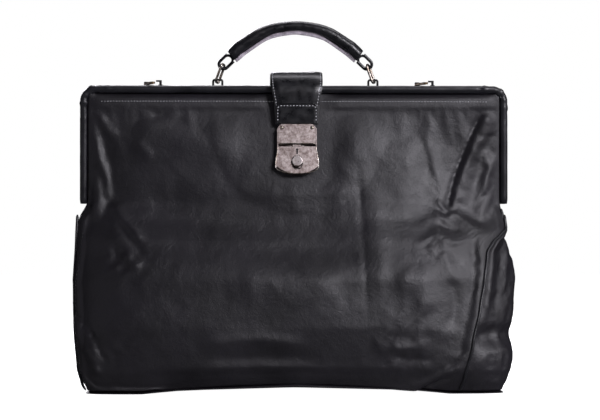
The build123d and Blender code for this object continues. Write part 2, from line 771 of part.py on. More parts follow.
# ---------------------------------------------------------------- lock on the front panel
def lock_outline(inset):
    """Draws the lock case's outline: rounded top, widening sides, bowed bottom."""
    half = LOCK_HALF - inset
    wide = LOCK_WIDE_HALF - inset
    top = FilletPolyline(
        (-half, 0), (-half, LOCK_TOP - inset), (half, LOCK_TOP - inset), (half, 0),
        radius=LOCK_CORNER,
    )
    left = TangentArc(top @ 0, (-wide, LOCK_WIDE_AT), tangent=(0, -1))
    right = TangentArc(top @ 1, (wide, LOCK_WIDE_AT), tangent=(0, -1))
    ThreePointArc(left @ 1, (0, LOCK_BOTTOM + inset), right @ 1)


with BuildPart() as lock_base:
    with BuildSketch(lock_plane.offset(LOCK_BASE_BACK)):
        with BuildLine():
            lock_outline(0)
        make_face()
    extrude(amount=LOCK_BASE_FRONT - LOCK_BASE_BACK)
    # raised rims beside the hasp
    with BuildSketch(lock_plane.offset(LOCK_BASE_FRONT)):
        with Locations(
            (-LOCK_HALF + LOCK_RIM / 2, (LOCK_SPLIT + LOCK_TOP - LOCK_CORNER) / 2),
            (LOCK_HALF - LOCK_RIM / 2, (LOCK_SPLIT + LOCK_TOP - LOCK_CORNER) / 2),
        ):
            Rectangle(LOCK_RIM, LOCK_TOP - LOCK_CORNER - LOCK_SPLIT)
    extrude(amount=LOCK_FRONT - LOCK_BASE_FRONT - LOCK_RIM_LOW)
finish(lock_base, "lock_base")

with BuildPart() as lock_case:
    with BuildSketch(lock_plane.offset(LOCK_BASE_FRONT)):
        with BuildLine():
            lock_outline(0)
        make_face()
        with Locations((0, LOCK_SPLIT + LOCK_CUT[1] / 2)):
            Rectangle(*LOCK_CUT, mode=Mode.SUBTRACT)
    extrude(amount=LOCK_FRONT - LOCK_BASE_FRONT)
    fillet(lock_case.faces().sort_by(Axis.Y)[0].edges(), LOCK_EDGE_ROUND)
    with BuildSketch(lock_plane.offset(LOCK_BASE_FRONT)):
        with BuildLine():
            lock_outline(LOCK_WALL)
        make_face()
        with Locations((0, LOCK_SPLIT - LOCK_WALL + LOCK_CUT[1] / 2)):
            Rectangle(*LOCK_CUT, mode=Mode.SUBTRACT)
    extrude(amount=LOCK_FRONT - LOCK_BASE_FRONT - LOCK_WALL, mode=Mode.SUBTRACT)
    # slot in the top wall for the bolt's arms, bore for the key plug, well for the button
    with BuildSketch(lock_plane.offset(LOCK_BASE_FRONT)):
        with Locations((0, LOCK_SPLIT)):
            Rectangle(2 * (BOLT_HALF + BOLT_RUN), 2 * LOCK_WALL + BOLT_SLOT_OVERCUT)
    extrude(amount=BOLT_FRONT - LOCK_BASE_FRONT + BOLT_RUN, mode=Mode.SUBTRACT)
    with BuildSketch(lock_plane.offset(LOCK_BASE_FRONT)):
        with Locations((0, PLUG_V)):
            Circle(PLUG_R + PLUG_RUN)
        with Locations((0, BUTTON_V - BUTTON_TRAVEL / 2)):
            well_run = BUTTON_TRAVEL + 2 * (BUTTON_WELL_R - BUTTON_R)
            SlotCenterToCenter(well_run, 2 * BUTTON_WELL_R, rotation=90)
    extrude(amount=LOCK_FRONT, mode=Mode.SUBTRACT)
finish(lock_case, "lock_case")

with BuildPart() as key_plug:
    with BuildSketch(lock_plane.offset(BOLT_FRONT + BOLT_RUN)):
        with Locations((0, PLUG_V)):
            Circle(PLUG_R)
    extrude(amount=LOCK_FRONT + PLUG_PROUD - BOLT_FRONT - BOLT_RUN)
    with BuildSketch(lock_plane.offset(KEYHOLE_FLOOR)):
        with Locations((0, PLUG_V + KEYHOLE_SPREAD)):
            Circle(KEYHOLE_R)
        with Locations((0, PLUG_V - KEYHOLE_SPREAD)):
            Rectangle(*KEYHOLE_SLOT)
    extrude(amount=LOCK_FRONT, mode=Mode.SUBTRACT)
finish(key_plug, "lock_key_plug")

with BuildPart() as button:
    with BuildSketch(lock_plane.offset(BUTTON_BACK)):
        with Locations((0, BUTTON_V)):
            Circle(BUTTON_R)
    extrude(amount=LOCK_FRONT + BUTTON_PROUD - BUTTON_BACK)
    fillet(button.faces().sort_by(Axis.Y)[0].edges(), BUTTON_ROUND)
    with BuildSketch(lock_plane.offset(BUTTON_BACK)):
        with Locations((0, BUTTON_V)):
            Circle(BUTTON_STEM_R)
    extrude(amount=BOLT_FRONT - BUTTON_BACK)
finish(button, "lock_button")

with BuildPart() as bolt:
    with BuildSketch(lock_plane.offset(BOLT_BACK)):
        with Locations((0, (BOLT_LOW + BOLT_HIGH) / 2)):
            Rectangle(2 * BOLT_HALF, BOLT_HIGH - BOLT_LOW)
        with Locations((0, (BOLT_WINDOW_LOW + BOLT_WINDOW_HIGH) / 2)):
            Rectangle(2 * BOLT_WINDOW_HALF, BOLT_WINDOW_HIGH - BOLT_WINDOW_LOW, mode=Mode.SUBTRACT)
    extrude(amount=BOLT_FRONT - BOLT_BACK)
finish(bolt, "lock_bolt")

spring_foot = lock_plane.from_local_coords((SPRING_U, BOLT_LOW + SPRING_SEAT - SPRING_LENGTH, SPRING_W))
spring_plane = Plane(origin=spring_foot, x_dir=(1, 0, 0), z_dir=lock_plane.y_dir)
with BuildPart() as spring:
    with BuildLine(spring_plane):
        coil = Helix(pitch=SPRING_PITCH, height=SPRING_LENGTH - SPRING_ENDS, radius=SPRING_R)
    with BuildSketch(Plane(origin=coil @ 0, z_dir=coil % 0)):
        Circle(SPRING_WIRE_R)
    sweep(path=coil)
finish(spring, "lock_spring")

with BuildPart() as back_plate:
    with BuildSketch(lock_plane.offset(-LEATHER - LINING - 2 * SKIN_GAP - BACK_PLATE_GAP)):
        RectangleRounded(BACK_PLATE_WIDTH, BACK_PLATE_HEIGHT, LOCK_CORNER)
    extrude(amount=-BACK_PLATE)
finish(back_plate, "lock_back_plate")

# ---------------------------------------------------------------- handle and its links
def grip_path():
    """Draws the grip's centre line: straight, arc, straight."""
    arc_half = GRIP_ARC_R * sin(radians(GRIP_SLOPE))
    arc_end_z = GRIP_TOP_Z - GRIP_ARC_R * (1 - cos(radians(GRIP_SLOPE)))
    end_x = arc_half + GRIP_STRAIGHT * cos(radians(GRIP_SLOPE))
    end_z = arc_end_z - GRIP_STRAIGHT * sin(radians(GRIP_SLOPE))
    left = Line((HANDLE_X - end_x, end_z), (HANDLE_X - arc_half, arc_end_z))
    arc = ThreePointArc(left @ 1, (HANDLE_X, GRIP_TOP_Z), (HANDLE_X + arc_half, arc_end_z))
    right = Line(arc @ 1, (HANDLE_X + end_x, end_z))
    return left, arc, right


handle_plane = Plane.XZ.offset(-HANDLE_Y)
for name, outer_r, inner_r in (
    ("handle_grip_cover", GRIP_R, GRIP_R - GRIP_WALL),
    ("handle_core", GRIP_CORE_R, 0),
):
    with BuildPart() as grip:
        with BuildLine(handle_plane):
            run = grip_path()
        with BuildSketch(Plane(origin=run[0] @ 0, z_dir=run[0] % 0)):
            Circle(outer_r)
            if inner_r:
                Circle(inner_r, mode=Mode.SUBTRACT)
        sweep()
        if not inner_r:
            # a strap loop at each end, around its link's upper bar
            for side, end in ((-1, run[0] @ 0), (1, run[2] @ 1)):
                slope = -side * LOOP_SLOPE
                middle_x = end.X + side * LOOP_MIDDLE_OUT
                middle_z = end.Z - LOOP_MIDDLE_OUT * tan(radians(LOOP_SLOPE))
                with BuildSketch(Plane.XZ.offset(-HANDLE_Y - LOOP_HALF_WIDTH)):
                    with Locations((middle_x, middle_z)):
                        SlotCenterToCenter(LOOP_LENGTH, 2 * LOOP_OUTER_R, rotation=slope)
                extrude(amount=2 * LOOP_HALF_WIDTH)
                with BuildSketch(Plane.XZ.offset(-HANDLE_Y - LOOP_HALF_WIDTH)):
                    with Locations((middle_x, middle_z)):
                        SlotCenterToCenter(
                            LOOP_LENGTH, 2 * (LOOP_OUTER_R - LOOP_WALL), rotation=slope
                        )
                extrude(amount=2 * LOOP_HALF_WIDTH, mode=Mode.SUBTRACT)
    finish(grip, name)

for name, side in (("left", -1), ("right", 1)):
    foot_x = HANDLE_X + side * STAPLE_HALF_SPACING
    lean = -side * LINK_LEAN
    along = Vector(sin(radians(lean)), 0, cos(radians(lean)))
    across = Vector(0, 1, 0).rotate(Axis((0, 0, 0), along), -LINK_TWIST)
    # the link's own plane: u across it, v along it
    link_plane = Plane(
        origin=Vector(foot_x, HANDLE_Y, BRIDGE_Z) + along * (LINK_LENGTH / 2 - LINK_BELOW_BRIDGE),
        x_dir=across,
        z_dir=across.cross(along),
    )
    link_u = LINK_HALF - LINK_WIRE_R
    link_v = LINK_LENGTH / 2 - LINK_WIRE_R
    with BuildPart() as link:
        with BuildLine(link_plane):
            ring = FilletPolyline(
                (link_u, link_v), (link_u, -link_v), (-link_u, -link_v), (-link_u, link_v),
                radius=LINK_CORNER, close=True,
            )
        with BuildSketch(Plane(origin=ring @ 0, z_dir=ring % 0)):
            Circle(LINK_WIRE_R)
        sweep(path=ring)
    finish(link, f"link_{name}")

with BuildPart() as staples:
    for side in (-1, 1):
        foot_x = HANDLE_X + side * STAPLE_HALF_SPACING
        with BuildLine(handle_plane):
            wire = FilletPolyline(
                (foot_x - STAPLE_HALF, JAW_TOP), (foot_x - STAPLE_HALF, BRIDGE_Z),
                (foot_x + STAPLE_HALF, BRIDGE_Z), (foot_x + STAPLE_HALF, JAW_TOP),
                radius=STAPLE_CORNER,
            )
        with BuildSketch(Plane(origin=wire @ 0, z_dir=(0, 0, 1))):
            Circle(BRIDGE_R)
        sweep(path=wire)
finish(staples, "handle_staples")

# ---------------------------------------------------------------- swing catches on top of the jaws
lever_top = CATCH_Z + CATCH_THICKNESS
for name, pivot_x in CATCH_PIVOTS.items():
    pivot = Vector(pivot_x, CATCH_PIVOT_Y)
    hook = Vector(pivot_x + CATCH_HOOK_DX, CATCH_PIVOT_Y + CATCH_HOOK_DY)
    reach = (hook - pivot).length
    along = Vector(cos(radians(CATCH_REST)), sin(radians(CATCH_REST)))
    tip = pivot + along * CATCH_LENGTH
    notch = pivot + along * reach
    open_side = Vector(-along.Y, along.X)
    with BuildPart() as lever:
        with BuildSketch(Plane.XY.offset(CATCH_Z)):
            SlotCenterPoint((pivot + tip) * 0.5, tip, 2 * CATCH_HALF)
            step = open_side * CATCH_NOTCH_STEP
            with Locations(notch, notch + step, notch + step * 2):
                Circle(HOOK_R + HOOK_RUN, mode=Mode.SUBTRACT)
            with Locations(pivot):
                Circle(CATCH_PIN_R + CATCH_PIN_RUN, mode=Mode.SUBTRACT)
        extrude(amount=CATCH_THICKNESS)
    finish(lever, f"catch_lever_{name}")

    with BuildPart() as rivet:
        with BuildSketch(Plane.XY.offset(JAW_TOP)):
            with Locations(pivot):
                Circle(CATCH_FOOT_R)
        extrude(amount=CATCH_Z - CATCH_LIFT - JAW_TOP)
        with BuildSketch(Plane.XY.offset(JAW_TOP)):
            with Locations(pivot):
                Circle(CATCH_PIN_R)
        extrude(amount=lever_top + 2 * CATCH_LIFT - JAW_TOP)
        with BuildSketch(Plane.XY.offset(lever_top + CATCH_LIFT)):
            with Locations(pivot):
                Circle(CATCH_HEAD_R)
        extrude(amount=CATCH_HEAD)
    finish(rivet, f"catch_pivot_{name}")

    with BuildPart() as post:
        with BuildSketch(Plane.XY.offset(JAW_TOP)):
            with Locations(hook):
                Circle(HOOK_R)
        extrude(amount=lever_top + HOOK_GAP + HOOK_BEAK / 2 - JAW_TOP)
        with BuildSketch(Plane.XY.offset(lever_top + HOOK_GAP)):
            SlotCenterPoint(hook - Vector(HOOK_BEAK_REACH, 0), hook, 2 * HOOK_R)
        extrude(amount=HOOK_BEAK)
        with BuildSketch(Plane.XY.offset(JAW_TOP)):
            with Locations(hook):
                Circle(HOOK_FOOT_R)
        extrude(amount=HOOK_FOOT)
    finish(post, f"catch_hook_{name}")
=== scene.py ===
"""The looks of the doctor bag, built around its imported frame.

Metres, +Z up, -Y out of the front, as in the CAD model.
"""
import json
import math

import bpy
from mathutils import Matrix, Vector, noise


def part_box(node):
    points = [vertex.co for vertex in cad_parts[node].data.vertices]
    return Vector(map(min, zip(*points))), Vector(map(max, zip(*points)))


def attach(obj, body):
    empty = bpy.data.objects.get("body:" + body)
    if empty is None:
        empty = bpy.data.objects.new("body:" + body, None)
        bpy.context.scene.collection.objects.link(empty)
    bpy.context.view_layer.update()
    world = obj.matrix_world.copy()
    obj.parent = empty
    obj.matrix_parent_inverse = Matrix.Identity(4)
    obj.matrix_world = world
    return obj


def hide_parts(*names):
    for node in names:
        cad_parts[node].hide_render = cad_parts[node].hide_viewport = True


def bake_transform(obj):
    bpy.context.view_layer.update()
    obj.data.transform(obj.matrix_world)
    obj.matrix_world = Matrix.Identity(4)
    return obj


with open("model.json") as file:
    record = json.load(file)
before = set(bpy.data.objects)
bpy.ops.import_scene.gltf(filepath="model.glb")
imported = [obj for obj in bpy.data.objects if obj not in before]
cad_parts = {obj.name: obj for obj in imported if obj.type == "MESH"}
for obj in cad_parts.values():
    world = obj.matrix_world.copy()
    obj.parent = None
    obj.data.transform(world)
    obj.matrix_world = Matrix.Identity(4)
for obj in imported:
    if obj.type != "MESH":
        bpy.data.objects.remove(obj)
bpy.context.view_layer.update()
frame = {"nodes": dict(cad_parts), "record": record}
MM = 0.001

# ------------------------------------------------------------------ sizes, in millimetres
JAW_HALF = 213.5
JAW_TOP = 304.0
JAW_BAR = 8.0
JAW_DEPTH = 12.0
JAW_CORNER = 16.0
JAW_FOOT = 186.0
JAW_GAP = 1.0
PANEL_HALF = 205.3
PANEL_TOP = 296.2
PANEL_AT_JAW = 11.5
LEAN_FROM = 296.0               # the upper walls lean outwards below this height
LEAN_ANGLE = math.radians(12)
LEAN = math.tan(LEAN_ANGLE)
LEAN_COS = math.cos(LEAN_ANGLE)
STRAP_X = 2.0                   # middle of the strap and of the lock
BASE_ARCH_HALF = 150.0
BASE_ARCH_RISE = 8.0
LEATHER = 2.0
FLOOR_GAP = 0.05
BOTTOM = 4.2                    # height of a wall's lower edge, before it rolls under

# the soft body: height, half width, half depth and squareness of its outline
BODY = (
    (0, 204, 63, 11.0),
    (10, 209, 67, 9.0),
    (25, 213.5, 72, 6.2),
    (65, 218, 75, 3.8),
    (110, 219, 69, 3.3),
    (150, 217.5, 57, 2.9),
    (176, 217, 46, 2.5),
    (190, 212, 40, 2.4),
)
# where the front panel's right-hand seam runs: height, distance from the middle
FRONT_SEAM = (
    (0, 159), (16, 164), (49, 172), (84, 180), (110, 185), (138, 189), (148, 195), (155, 203),
    (161, 210), (172, 209), (200, 206),
)


def smooth(low, high, value):
    """Smooth step from 0 at low to 1 at high, which may be the smaller."""
    share = min(1.0, max(0.0, (value - low) / (high - low)))
    return share * share * (3 - 2 * share)


def table(rows, at, column=1):
    """Reads a column of a table at this height, smoothly between its rows."""
    if at <= rows[0][0]:
        return rows[0][column]
    for lower, upper in zip(rows, rows[1:]):
        if at <= upper[0]:
            share = smooth(lower[0], upper[0], at) * 0.5 + 0.5 * (at - lower[0]) / (upper[0] - lower[0])
            return lower[column] + (upper[column] - lower[column]) * share
    return rows[-1][column]


def panel_y(z):
    """Distance of the upper panels from the closing plane at a height."""
    return PANEL_AT_JAW + (LEAN_FROM - z) * LEAN


def base_z(x):
    """Height of the bag's arched underside."""
    return BASE_ARCH_RISE * max(0.0, 1 - (x / BASE_ARCH_HALF) ** 2)


def rough(x, y, z, scale, seed=0.0):
    """Repeatable noise from -1 to 1 with features about scale millimetres across."""
    return noise.noise(Vector((x / scale + seed, y / scale, z / scale)))


# ------------------------------------------------------------------ meshes
def around(count):
    """Evenly spaced angles round a circle."""
    return [2 * math.pi * i / count for i in range(count)]


def run_at(line, k):
    """Step between the neighbours of a point of a line."""
    return line[min(k + 1, len(line) - 1)] - line[max(k - 1, 0)]


def normal_at(rows, r, c):
    """Normal of a grid of points at one of them."""
    up = rows[min(r + 1, len(rows) - 1)][c] - rows[max(r - 1, 0)][c]
    return run_at(rows[r], c).cross(up).normalized()


def make_object(name, points, faces):
    """A smooth mesh object from points in millimetres."""
    mesh = bpy.data.meshes.new(name)
    mesh.from_pydata([tuple(c * MM for c in p) for p in points], [], faces)
    mesh.validate()
    mesh.polygons.foreach_set("use_smooth", [True] * len(mesh.polygons))
    piece = bpy.data.objects.new(name, mesh)
    bpy.context.scene.collection.objects.link(piece)
    return piece


def grid(name, rows, flip=False):
    """A surface through rows of points."""
    count = len(rows[0])
    faces = []
    for r in range(len(rows) - 1):
        for c in range(count - 1):
            a = r * count + c
            quad = (a, a + 1, a + count + 1, a + count)
            faces.append(quad[::-1] if flip else quad)
    return make_object(name, [p for row in rows for p in row], faces)


def rings_mesh(rings):
    """Points and faces of a closed form through rings of points."""
    count = len(rings[0])
    points = [p for ring in rings for p in ring]
    faces = []
    for r in range(len(rings) - 1):
        for c in range(count):
            n = (c + 1) % count
            faces.append((r * count + c, r * count + n, (r + 1) * count + n, (r + 1) * count + c))
    for r, order in ((0, -1), (len(rings) - 1, 1)):
        centre = sum((Vector(p) for p in rings[r]), Vector()) / count
        points.append(centre)
        hub = len(points) - 1
        for c in range(count):
            n = (c + 1) % count
            pair = (r * count + c, r * count + n)
            faces.append((hub, *pair[::order]) if order == 1 else (hub, pair[1], pair[0]))
    return points, faces


def add_rings(points, faces, rings):
    """Adds a closed form through rings of points to a mesh in the making."""
    start = len(points)
    ring_points, ring_faces = rings_mesh(rings)
    points += ring_points
    faces += [tuple(start + i for i in face) for face in ring_faces]


def tube(name, rings):
    """A closed form through rings of points, capped at both ends."""
    points, faces = rings_mesh(rings)
    return make_object(name, points, faces)


def apply_modifiers(piece):
    """Makes the piece's modifiers part of its mesh."""
    graph = bpy.context.evaluated_depsgraph_get()
    mesh = bpy.data.meshes.new_from_object(piece.evaluated_get(graph))
    piece.modifiers.clear()
    piece.data = mesh
    return piece


def thicken(piece, thickness, offset=-1.0):
    """Gives a surface its thickness in millimetres, inwards unless offset says otherwise."""
    solid = piece.modifiers.new("thickness", "SOLIDIFY")
    solid.thickness = thickness * MM
    solid.offset = offset
    solid.use_even_offset = False
    apply_modifiers(piece)
    for corner in piece.data.vertices:
        corner.co.z = max(corner.co.z, FLOOR_GAP * MM)
    return piece


def rounded_off(corner, away):
    """How far a rounded corner has drawn an edge in, at this distance from the corner's other edge."""
    return corner - math.sqrt(max(0.0, corner ** 2 - max(0.0, corner - away) ** 2))


def resample(points, count):
    """Evenly spaced points along a line of points."""
    lengths = [0.0]
    for a, b in zip(points, points[1:]):
        lengths.append(lengths[-1] + (Vector(b) - Vector(a)).length)
    result = []
    i = 0
    for k in range(count):
        want = lengths[-1] * k / (count - 1)
        while i < len(points) - 2 and lengths[i + 1] < want:
            i += 1
        span = max(1e-9, lengths[i + 1] - lengths[i])
        result.append(Vector(points[i]).lerp(Vector(points[i + 1]), (want - lengths[i]) / span))
    return result


def line_length(points):
    """Length of a line of points."""
    return sum((Vector(b) - Vector(a)).length for a, b in zip(points, points[1:]))


# ------------------------------------------------------------------ materials
class Surface:
    """A Principled material and short ways to build its nodes."""

    def __init__(self, name, colour, roughness=0.5, metallic=0.0, **sockets):
        self.material = bpy.data.materials.new(name)
        self.material.use_nodes = True
        self.tree = self.material.node_tree
        self.shader = self.tree.nodes["Principled BSDF"]
        self.shader.inputs["Base Color"].default_value = (*colour, 1)
        self.shader.inputs["Roughness"].default_value = roughness
        self.shader.inputs["Metallic"].default_value = metallic
        for socket, value in sockets.items():
            self.shader.inputs[socket.replace("_", " ")].default_value = value
        self.place = self.node("ShaderNodeTexCoord").outputs["Object"]
        self.bumps = None

    def node(self, kind, **settings):
        """A new node with its settings."""
        made = self.tree.nodes.new(kind)
        for key, value in settings.items():
            setattr(made, key, value)
        return made

    def link(self, a, b):
        self.tree.links.new(a, b)

    def noise(self, scale, detail=4.0, rough=0.55, distortion=0.0, stretch=(1, 1, 1)):
        """Noise, in features to the metre."""
        made = self.node("ShaderNodeTexNoise")
        made.inputs["Scale"].default_value = scale
        made.inputs["Detail"].default_value = detail
        made.inputs["Roughness"].default_value = rough
        made.inputs["Distortion"].default_value = distortion
        self.link(self.stretched(stretch), made.inputs["Vector"])
        return made.outputs["Fac"]

    def cells(self, scale):
        """A pattern of cells."""
        made = self.node("ShaderNodeTexVoronoi")
        made.inputs["Scale"].default_value = scale
        self.link(self.place, made.inputs["Vector"])
        return made.outputs["Distance"]

    def waves(self, scale, direction="X", distortion=0.0):
        """Parallel bands."""
        made = self.node("ShaderNodeTexWave", bands_direction=direction)
        made.inputs["Scale"].default_value = scale
        made.inputs["Distortion"].default_value = distortion
        self.link(self.place, made.inputs["Vector"])
        return made.outputs["Fac"]

    def stretched(self, stretch):
        """Texture place, stretched along the axes."""
        if stretch == (1, 1, 1):
            return self.place
        mapping = self.node("ShaderNodeMapping")
        mapping.inputs["Scale"].default_value = stretch
        self.link(self.place, mapping.inputs["Vector"])
        return mapping.outputs["Vector"]

    def ramp(self, value, stops):
        """A value turned into colours or greys by its stops."""
        made = self.node("ShaderNodeValToRGB")
        elements = made.color_ramp.elements
        while len(elements) < len(stops):
            elements.new(0.5)
        for element, (position, colour) in zip(elements, stops):
            element.position = position
            shade = colour if isinstance(colour, tuple) else (colour, colour, colour)
            element.color = (*shade, 1)
        self.link(value, made.inputs["Fac"])
        return made.outputs["Color"]

    def mix(self, factor, first, second, blend="MIX"):
        """Two colours mixed; each value is a socket or a constant."""
        made = self.node("ShaderNodeMix", data_type="RGBA", blend_type=blend)
        sockets = [s for s in made.inputs if s.enabled]
        for socket, value in zip(sockets, (factor, first, second)):
            if hasattr(value, "links"):
                self.link(value, socket)
            elif isinstance(value, tuple):
                socket.default_value = (*value, 1)
            else:
                socket.default_value = value
        return [s for s in made.outputs if s.enabled][0]

    def colour(self, value):
        self.link(value, self.shader.inputs["Base Color"])

    def roughness(self, value):
        self.link(value, self.shader.inputs["Roughness"])

    def bump(self, height, strength, distance):
        """Adds a bump, its distance in millimetres, to those before it."""
        made = self.node("ShaderNodeBump")
        made.inputs["Strength"].default_value = strength
        made.inputs["Distance"].default_value = distance * MM
        self.link(height, made.inputs["Height"])
        if self.bumps is not None:
            self.link(self.bumps, made.inputs["Normal"])
        self.bumps = made.outputs["Normal"]
        self.link(self.bumps, self.shader.inputs["Normal"])


def body_leather():
    """Smooth black leather with a soft sheen, fine pores and hairline scuffs."""
    s = Surface("black leather", (0.008, 0.008, 0.010), 0.42, Specular_IOR_Level=0.5)
    dark, light = (0.0030, 0.0026, 0.0038), (0.0080, 0.0070, 0.0102)
    tone = s.ramp(s.noise(14, 6, 0.6), [(0.3, dark), (0.7, light)])
    scuff = s.ramp(s.noise(60, 8, 0.7, 1.2, (1, 1, 0.25)), [(0.66, 0.0), (0.74, 1.0)])
    s.colour(s.mix(scuff, tone, (0.020, 0.0175, 0.024)))
    s.roughness(s.ramp(s.noise(22, 8, 0.65, 0.4), [(0.3, 0.40), (0.7, 0.54)]))
    s.bump(s.noise(34, 10, 0.6, 0.6), 0.30, 1.5)
    s.bump(s.noise(85, 9, 0.7, 1.4), 0.42, 0.9)
    s.bump(s.noise(260, 6, 0.65, 0.6), 0.42, 0.5)
    s.bump(s.cells(1250), 0.20, 0.3)
    return s.material


def roll_leather():
    """The same leather, pulled tight round the jaws."""
    s = Surface("jaw leather", (0.008, 0.008, 0.010), 0.36)
    s.colour(s.ramp(s.noise(30, 6), [(0.3, (0.003, 0.003, 0.004)), (0.75, (0.009, 0.009, 0.012))]))
    s.roughness(s.ramp(s.noise(60, 6), [(0.3, 0.30), (0.7, 0.44)]))
    s.bump(s.noise(120, 8, 0.65, 0.5), 0.35, 0.8)
    s.bump(s.cells(1300), 0.16, 0.25)
    return s.material


def strap_leather():
    """Glossier leather with a crinkled grain."""
    s = Surface("strap leather", (0.006, 0.006, 0.008), 0.28, Coat_Weight=0.25, Coat_Roughness=0.22)
    s.colour(s.ramp(s.noise(90, 6), [(0.35, (0.002, 0.002, 0.003)), (0.75, (0.008, 0.008, 0.010))]))
    s.roughness(s.ramp(s.noise(180, 6), [(0.3, 0.24), (0.7, 0.42)]))
    s.bump(s.noise(70, 6, 0.6, 0.8, (1, 6, 8)), 0.30, 0.40)
    s.bump(s.noise(900, 5, 0.6), 0.22, 0.22)
    return s.material


def edge_leather():
    """The cut and stitched edge of the grip, worn to a greyish purple."""
    s = Surface("worn leather edge", (0.06, 0.05, 0.06), 0.55)
    s.colour(s.ramp(s.noise(160, 6), [(0.3, (0.11, 0.09, 0.115)), (0.7, (0.34, 0.30, 0.35))]))
    s.bump(s.noise(500, 6), 0.5, 0.4)
    return s.material


def thread():
    """Twisted grey thread."""
    s = Surface("thread", (0.2, 0.2, 0.21), 0.7)
    s.colour(s.ramp(s.noise(300, 4), [(0.3, (0.22, 0.22, 0.24)), (0.7, (0.50, 0.50, 0.53))]))
    s.bump(s.waves(900, "DIAGONAL"), 0.4, 0.15)
    return s.material


def antique_nickel():
    """Plated metal gone mottled, pinkish where the plating is thin."""
    s = Surface("antique nickel", (0.5, 0.46, 0.44), 0.4, 1.0)
    mottle = s.noise(360, 10, 0.80, 0.3)
    cloud = s.ramp(s.noise(90, 4), [(0.38, (0.66, 0.63, 0.62)), (0.60, (1.0, 1.0, 1.0))])
    worn, dull, plated = (0.24, 0.19, 0.175), (0.45, 0.38, 0.36), (0.66, 0.595, 0.57)
    fine = s.ramp(mottle, [(0.36, worn), (0.49, dull), (0.62, plated)])
    s.colour(s.mix(1.0, fine, cloud, "MULTIPLY"))
    s.roughness(s.ramp(s.noise(420, 8, 0.7), [(0.3, 0.52), (0.7, 0.34)]))
    s.bump(mottle, 0.25, 0.15)
    s.bump(s.noise(1300, 4), 0.12, 0.1)
    return s.material


def metal(name, dark, light, rough_low, rough_high, scale, metallic=1.0):
    """A plain metal with its colour and roughness a little uneven."""
    s = Surface(name, light, rough_low, metallic)
    s.colour(s.ramp(s.noise(scale, 7, 0.65), [(0.35, dark), (0.68, light)]))
    s.roughness(s.ramp(s.noise(scale * 1.4, 6), [(0.3, rough_low), (0.7, rough_high)]))
    s.bump(s.noise(scale * 4, 5), 0.18, 0.12)
    return s.material


def lining_cloth():
    """Woven cotton twill."""
    s = Surface("lining cloth", (0.1, 0.085, 0.075), 0.9, Sheen_Weight=0.2)
    weave = s.mix(0.5, s.waves(420, "DIAGONAL", 0.3), s.waves(420, "Z", 0.3), "MULTIPLY")
    tone = s.ramp(s.noise(25, 6), [(0.3, (0.075, 0.062, 0.054)), (0.7, (0.125, 0.107, 0.095))])
    s.colour(s.mix(0.35, tone, weave, "MULTIPLY"))
    s.bump(weave, 0.5, 0.3)
    s.bump(s.noise(40, 6), 0.2, 1.0)
    return s.material


def fibre_board():
    """Pressed brown board with its fibres lying along it."""
    s = Surface("fibre board", (0.22, 0.17, 0.12), 0.85)
    fibres = s.noise(200, 9, 0.8, 0, (1, 3, 1))
    s.colour(s.ramp(fibres, [(0.3, (0.14, 0.105, 0.07)), (0.7, (0.28, 0.22, 0.155))]))
    s.bump(s.noise(700, 5), 0.4, 0.2)
    return s.material


MATERIALS = {
    "black_leather": body_leather(),
    "roll": roll_leather(),
    "strap_leather": strap_leather(),
    "edge": edge_leather(),
    "thread": thread(),
    "antique_nickel": antique_nickel(),
    "link_nickel": metal("worn nickel", (0.34, 0.27, 0.20), (0.72, 0.68, 0.64), 0.22, 0.38, 180),
    "button_nickel": metal("polished nickel", (0.52, 0.45, 0.43), (0.80, 0.74, 0.72), 0.26, 0.38, 260),
    "jaw_steel": metal("jaw steel", (0.30, 0.30, 0.31), (0.50, 0.51, 0.52), 0.28, 0.42, 80),
    "bronze": metal("aged bronze", (0.11, 0.07, 0.035), (0.30, 0.215, 0.13), 0.34, 0.5, 160),
    "black_metal": metal("black metal", (0.012, 0.012, 0.013), (0.035, 0.034, 0.034), 0.3, 0.45, 200, 0.6),
    "lining_cloth": lining_cloth(),
    "fibre_board": fibre_board(),
}


def dress(piece, material):
    """Gives a piece its material."""
    piece.data.materials.clear()
    piece.data.materials.append(MATERIALS[material])
    return piece


# CAD pieces that look different from the rest of their slot
FINER_METAL = {
    "link_left": "link_nickel",
    "link_right": "link_nickel",
    "hasp_rivets": "link_nickel",
    "lock_button": "button_nickel",
}
for row in frame["record"]["subparts"]:
    node = frame["nodes"][row["node"]]
    node.data.materials.clear()
    look = FINER_METAL.get(row["node"], row["material_slot"])
    node.data.materials.append(MATERIALS[look])


# ------------------------------------------------------------------ folds in the leather
def line_distance(x, z, points):
    """Distance from a polyline in a wall's plane, the side it is on, and how far along it, from 0 to 1."""
    best = (math.inf, 0.0, 0.0)
    total = sum(math.dist(a, b) for a, b in zip(points, points[1:]))
    run = 0.0
    for (ax, az), (bx, bz) in zip(points, points[1:]):
        dx, dz = bx - ax, bz - az
        length = math.hypot(dx, dz)
        share = min(1.0, max(0.0, ((x - ax) * dx + (z - az) * dz) / length ** 2))
        px, pz = x - ax - dx * share, z - az - dz * share
        away = math.hypot(px, pz)
        if away < best[0]:
            side = 1.0 if dx * pz - dz * px >= 0 else -1.0
            best = (away, side, (run + share * length) / total)
        run += length
    return best


def ridge(x, z, points, height, width, sharp):
    """Height of a fold along a line: rounded, or creased where sharp is under 1."""
    margin = 4 * width
    for value, line in ((x, [p[0] for p in points]), (z, [p[1] for p in points])):
        if not min(line) - margin < value < max(line) + margin:
            return 0.0
    away, _, along = line_distance(x, z, points)
    taper = smooth(0, FOLD_END, along) * smooth(0, FOLD_END, 1 - along)
    return height * taper * math.exp(-((away / width) ** (2 * sharp)))


FOLD_END = 0.25                 # share of a fold's length over which each end fades
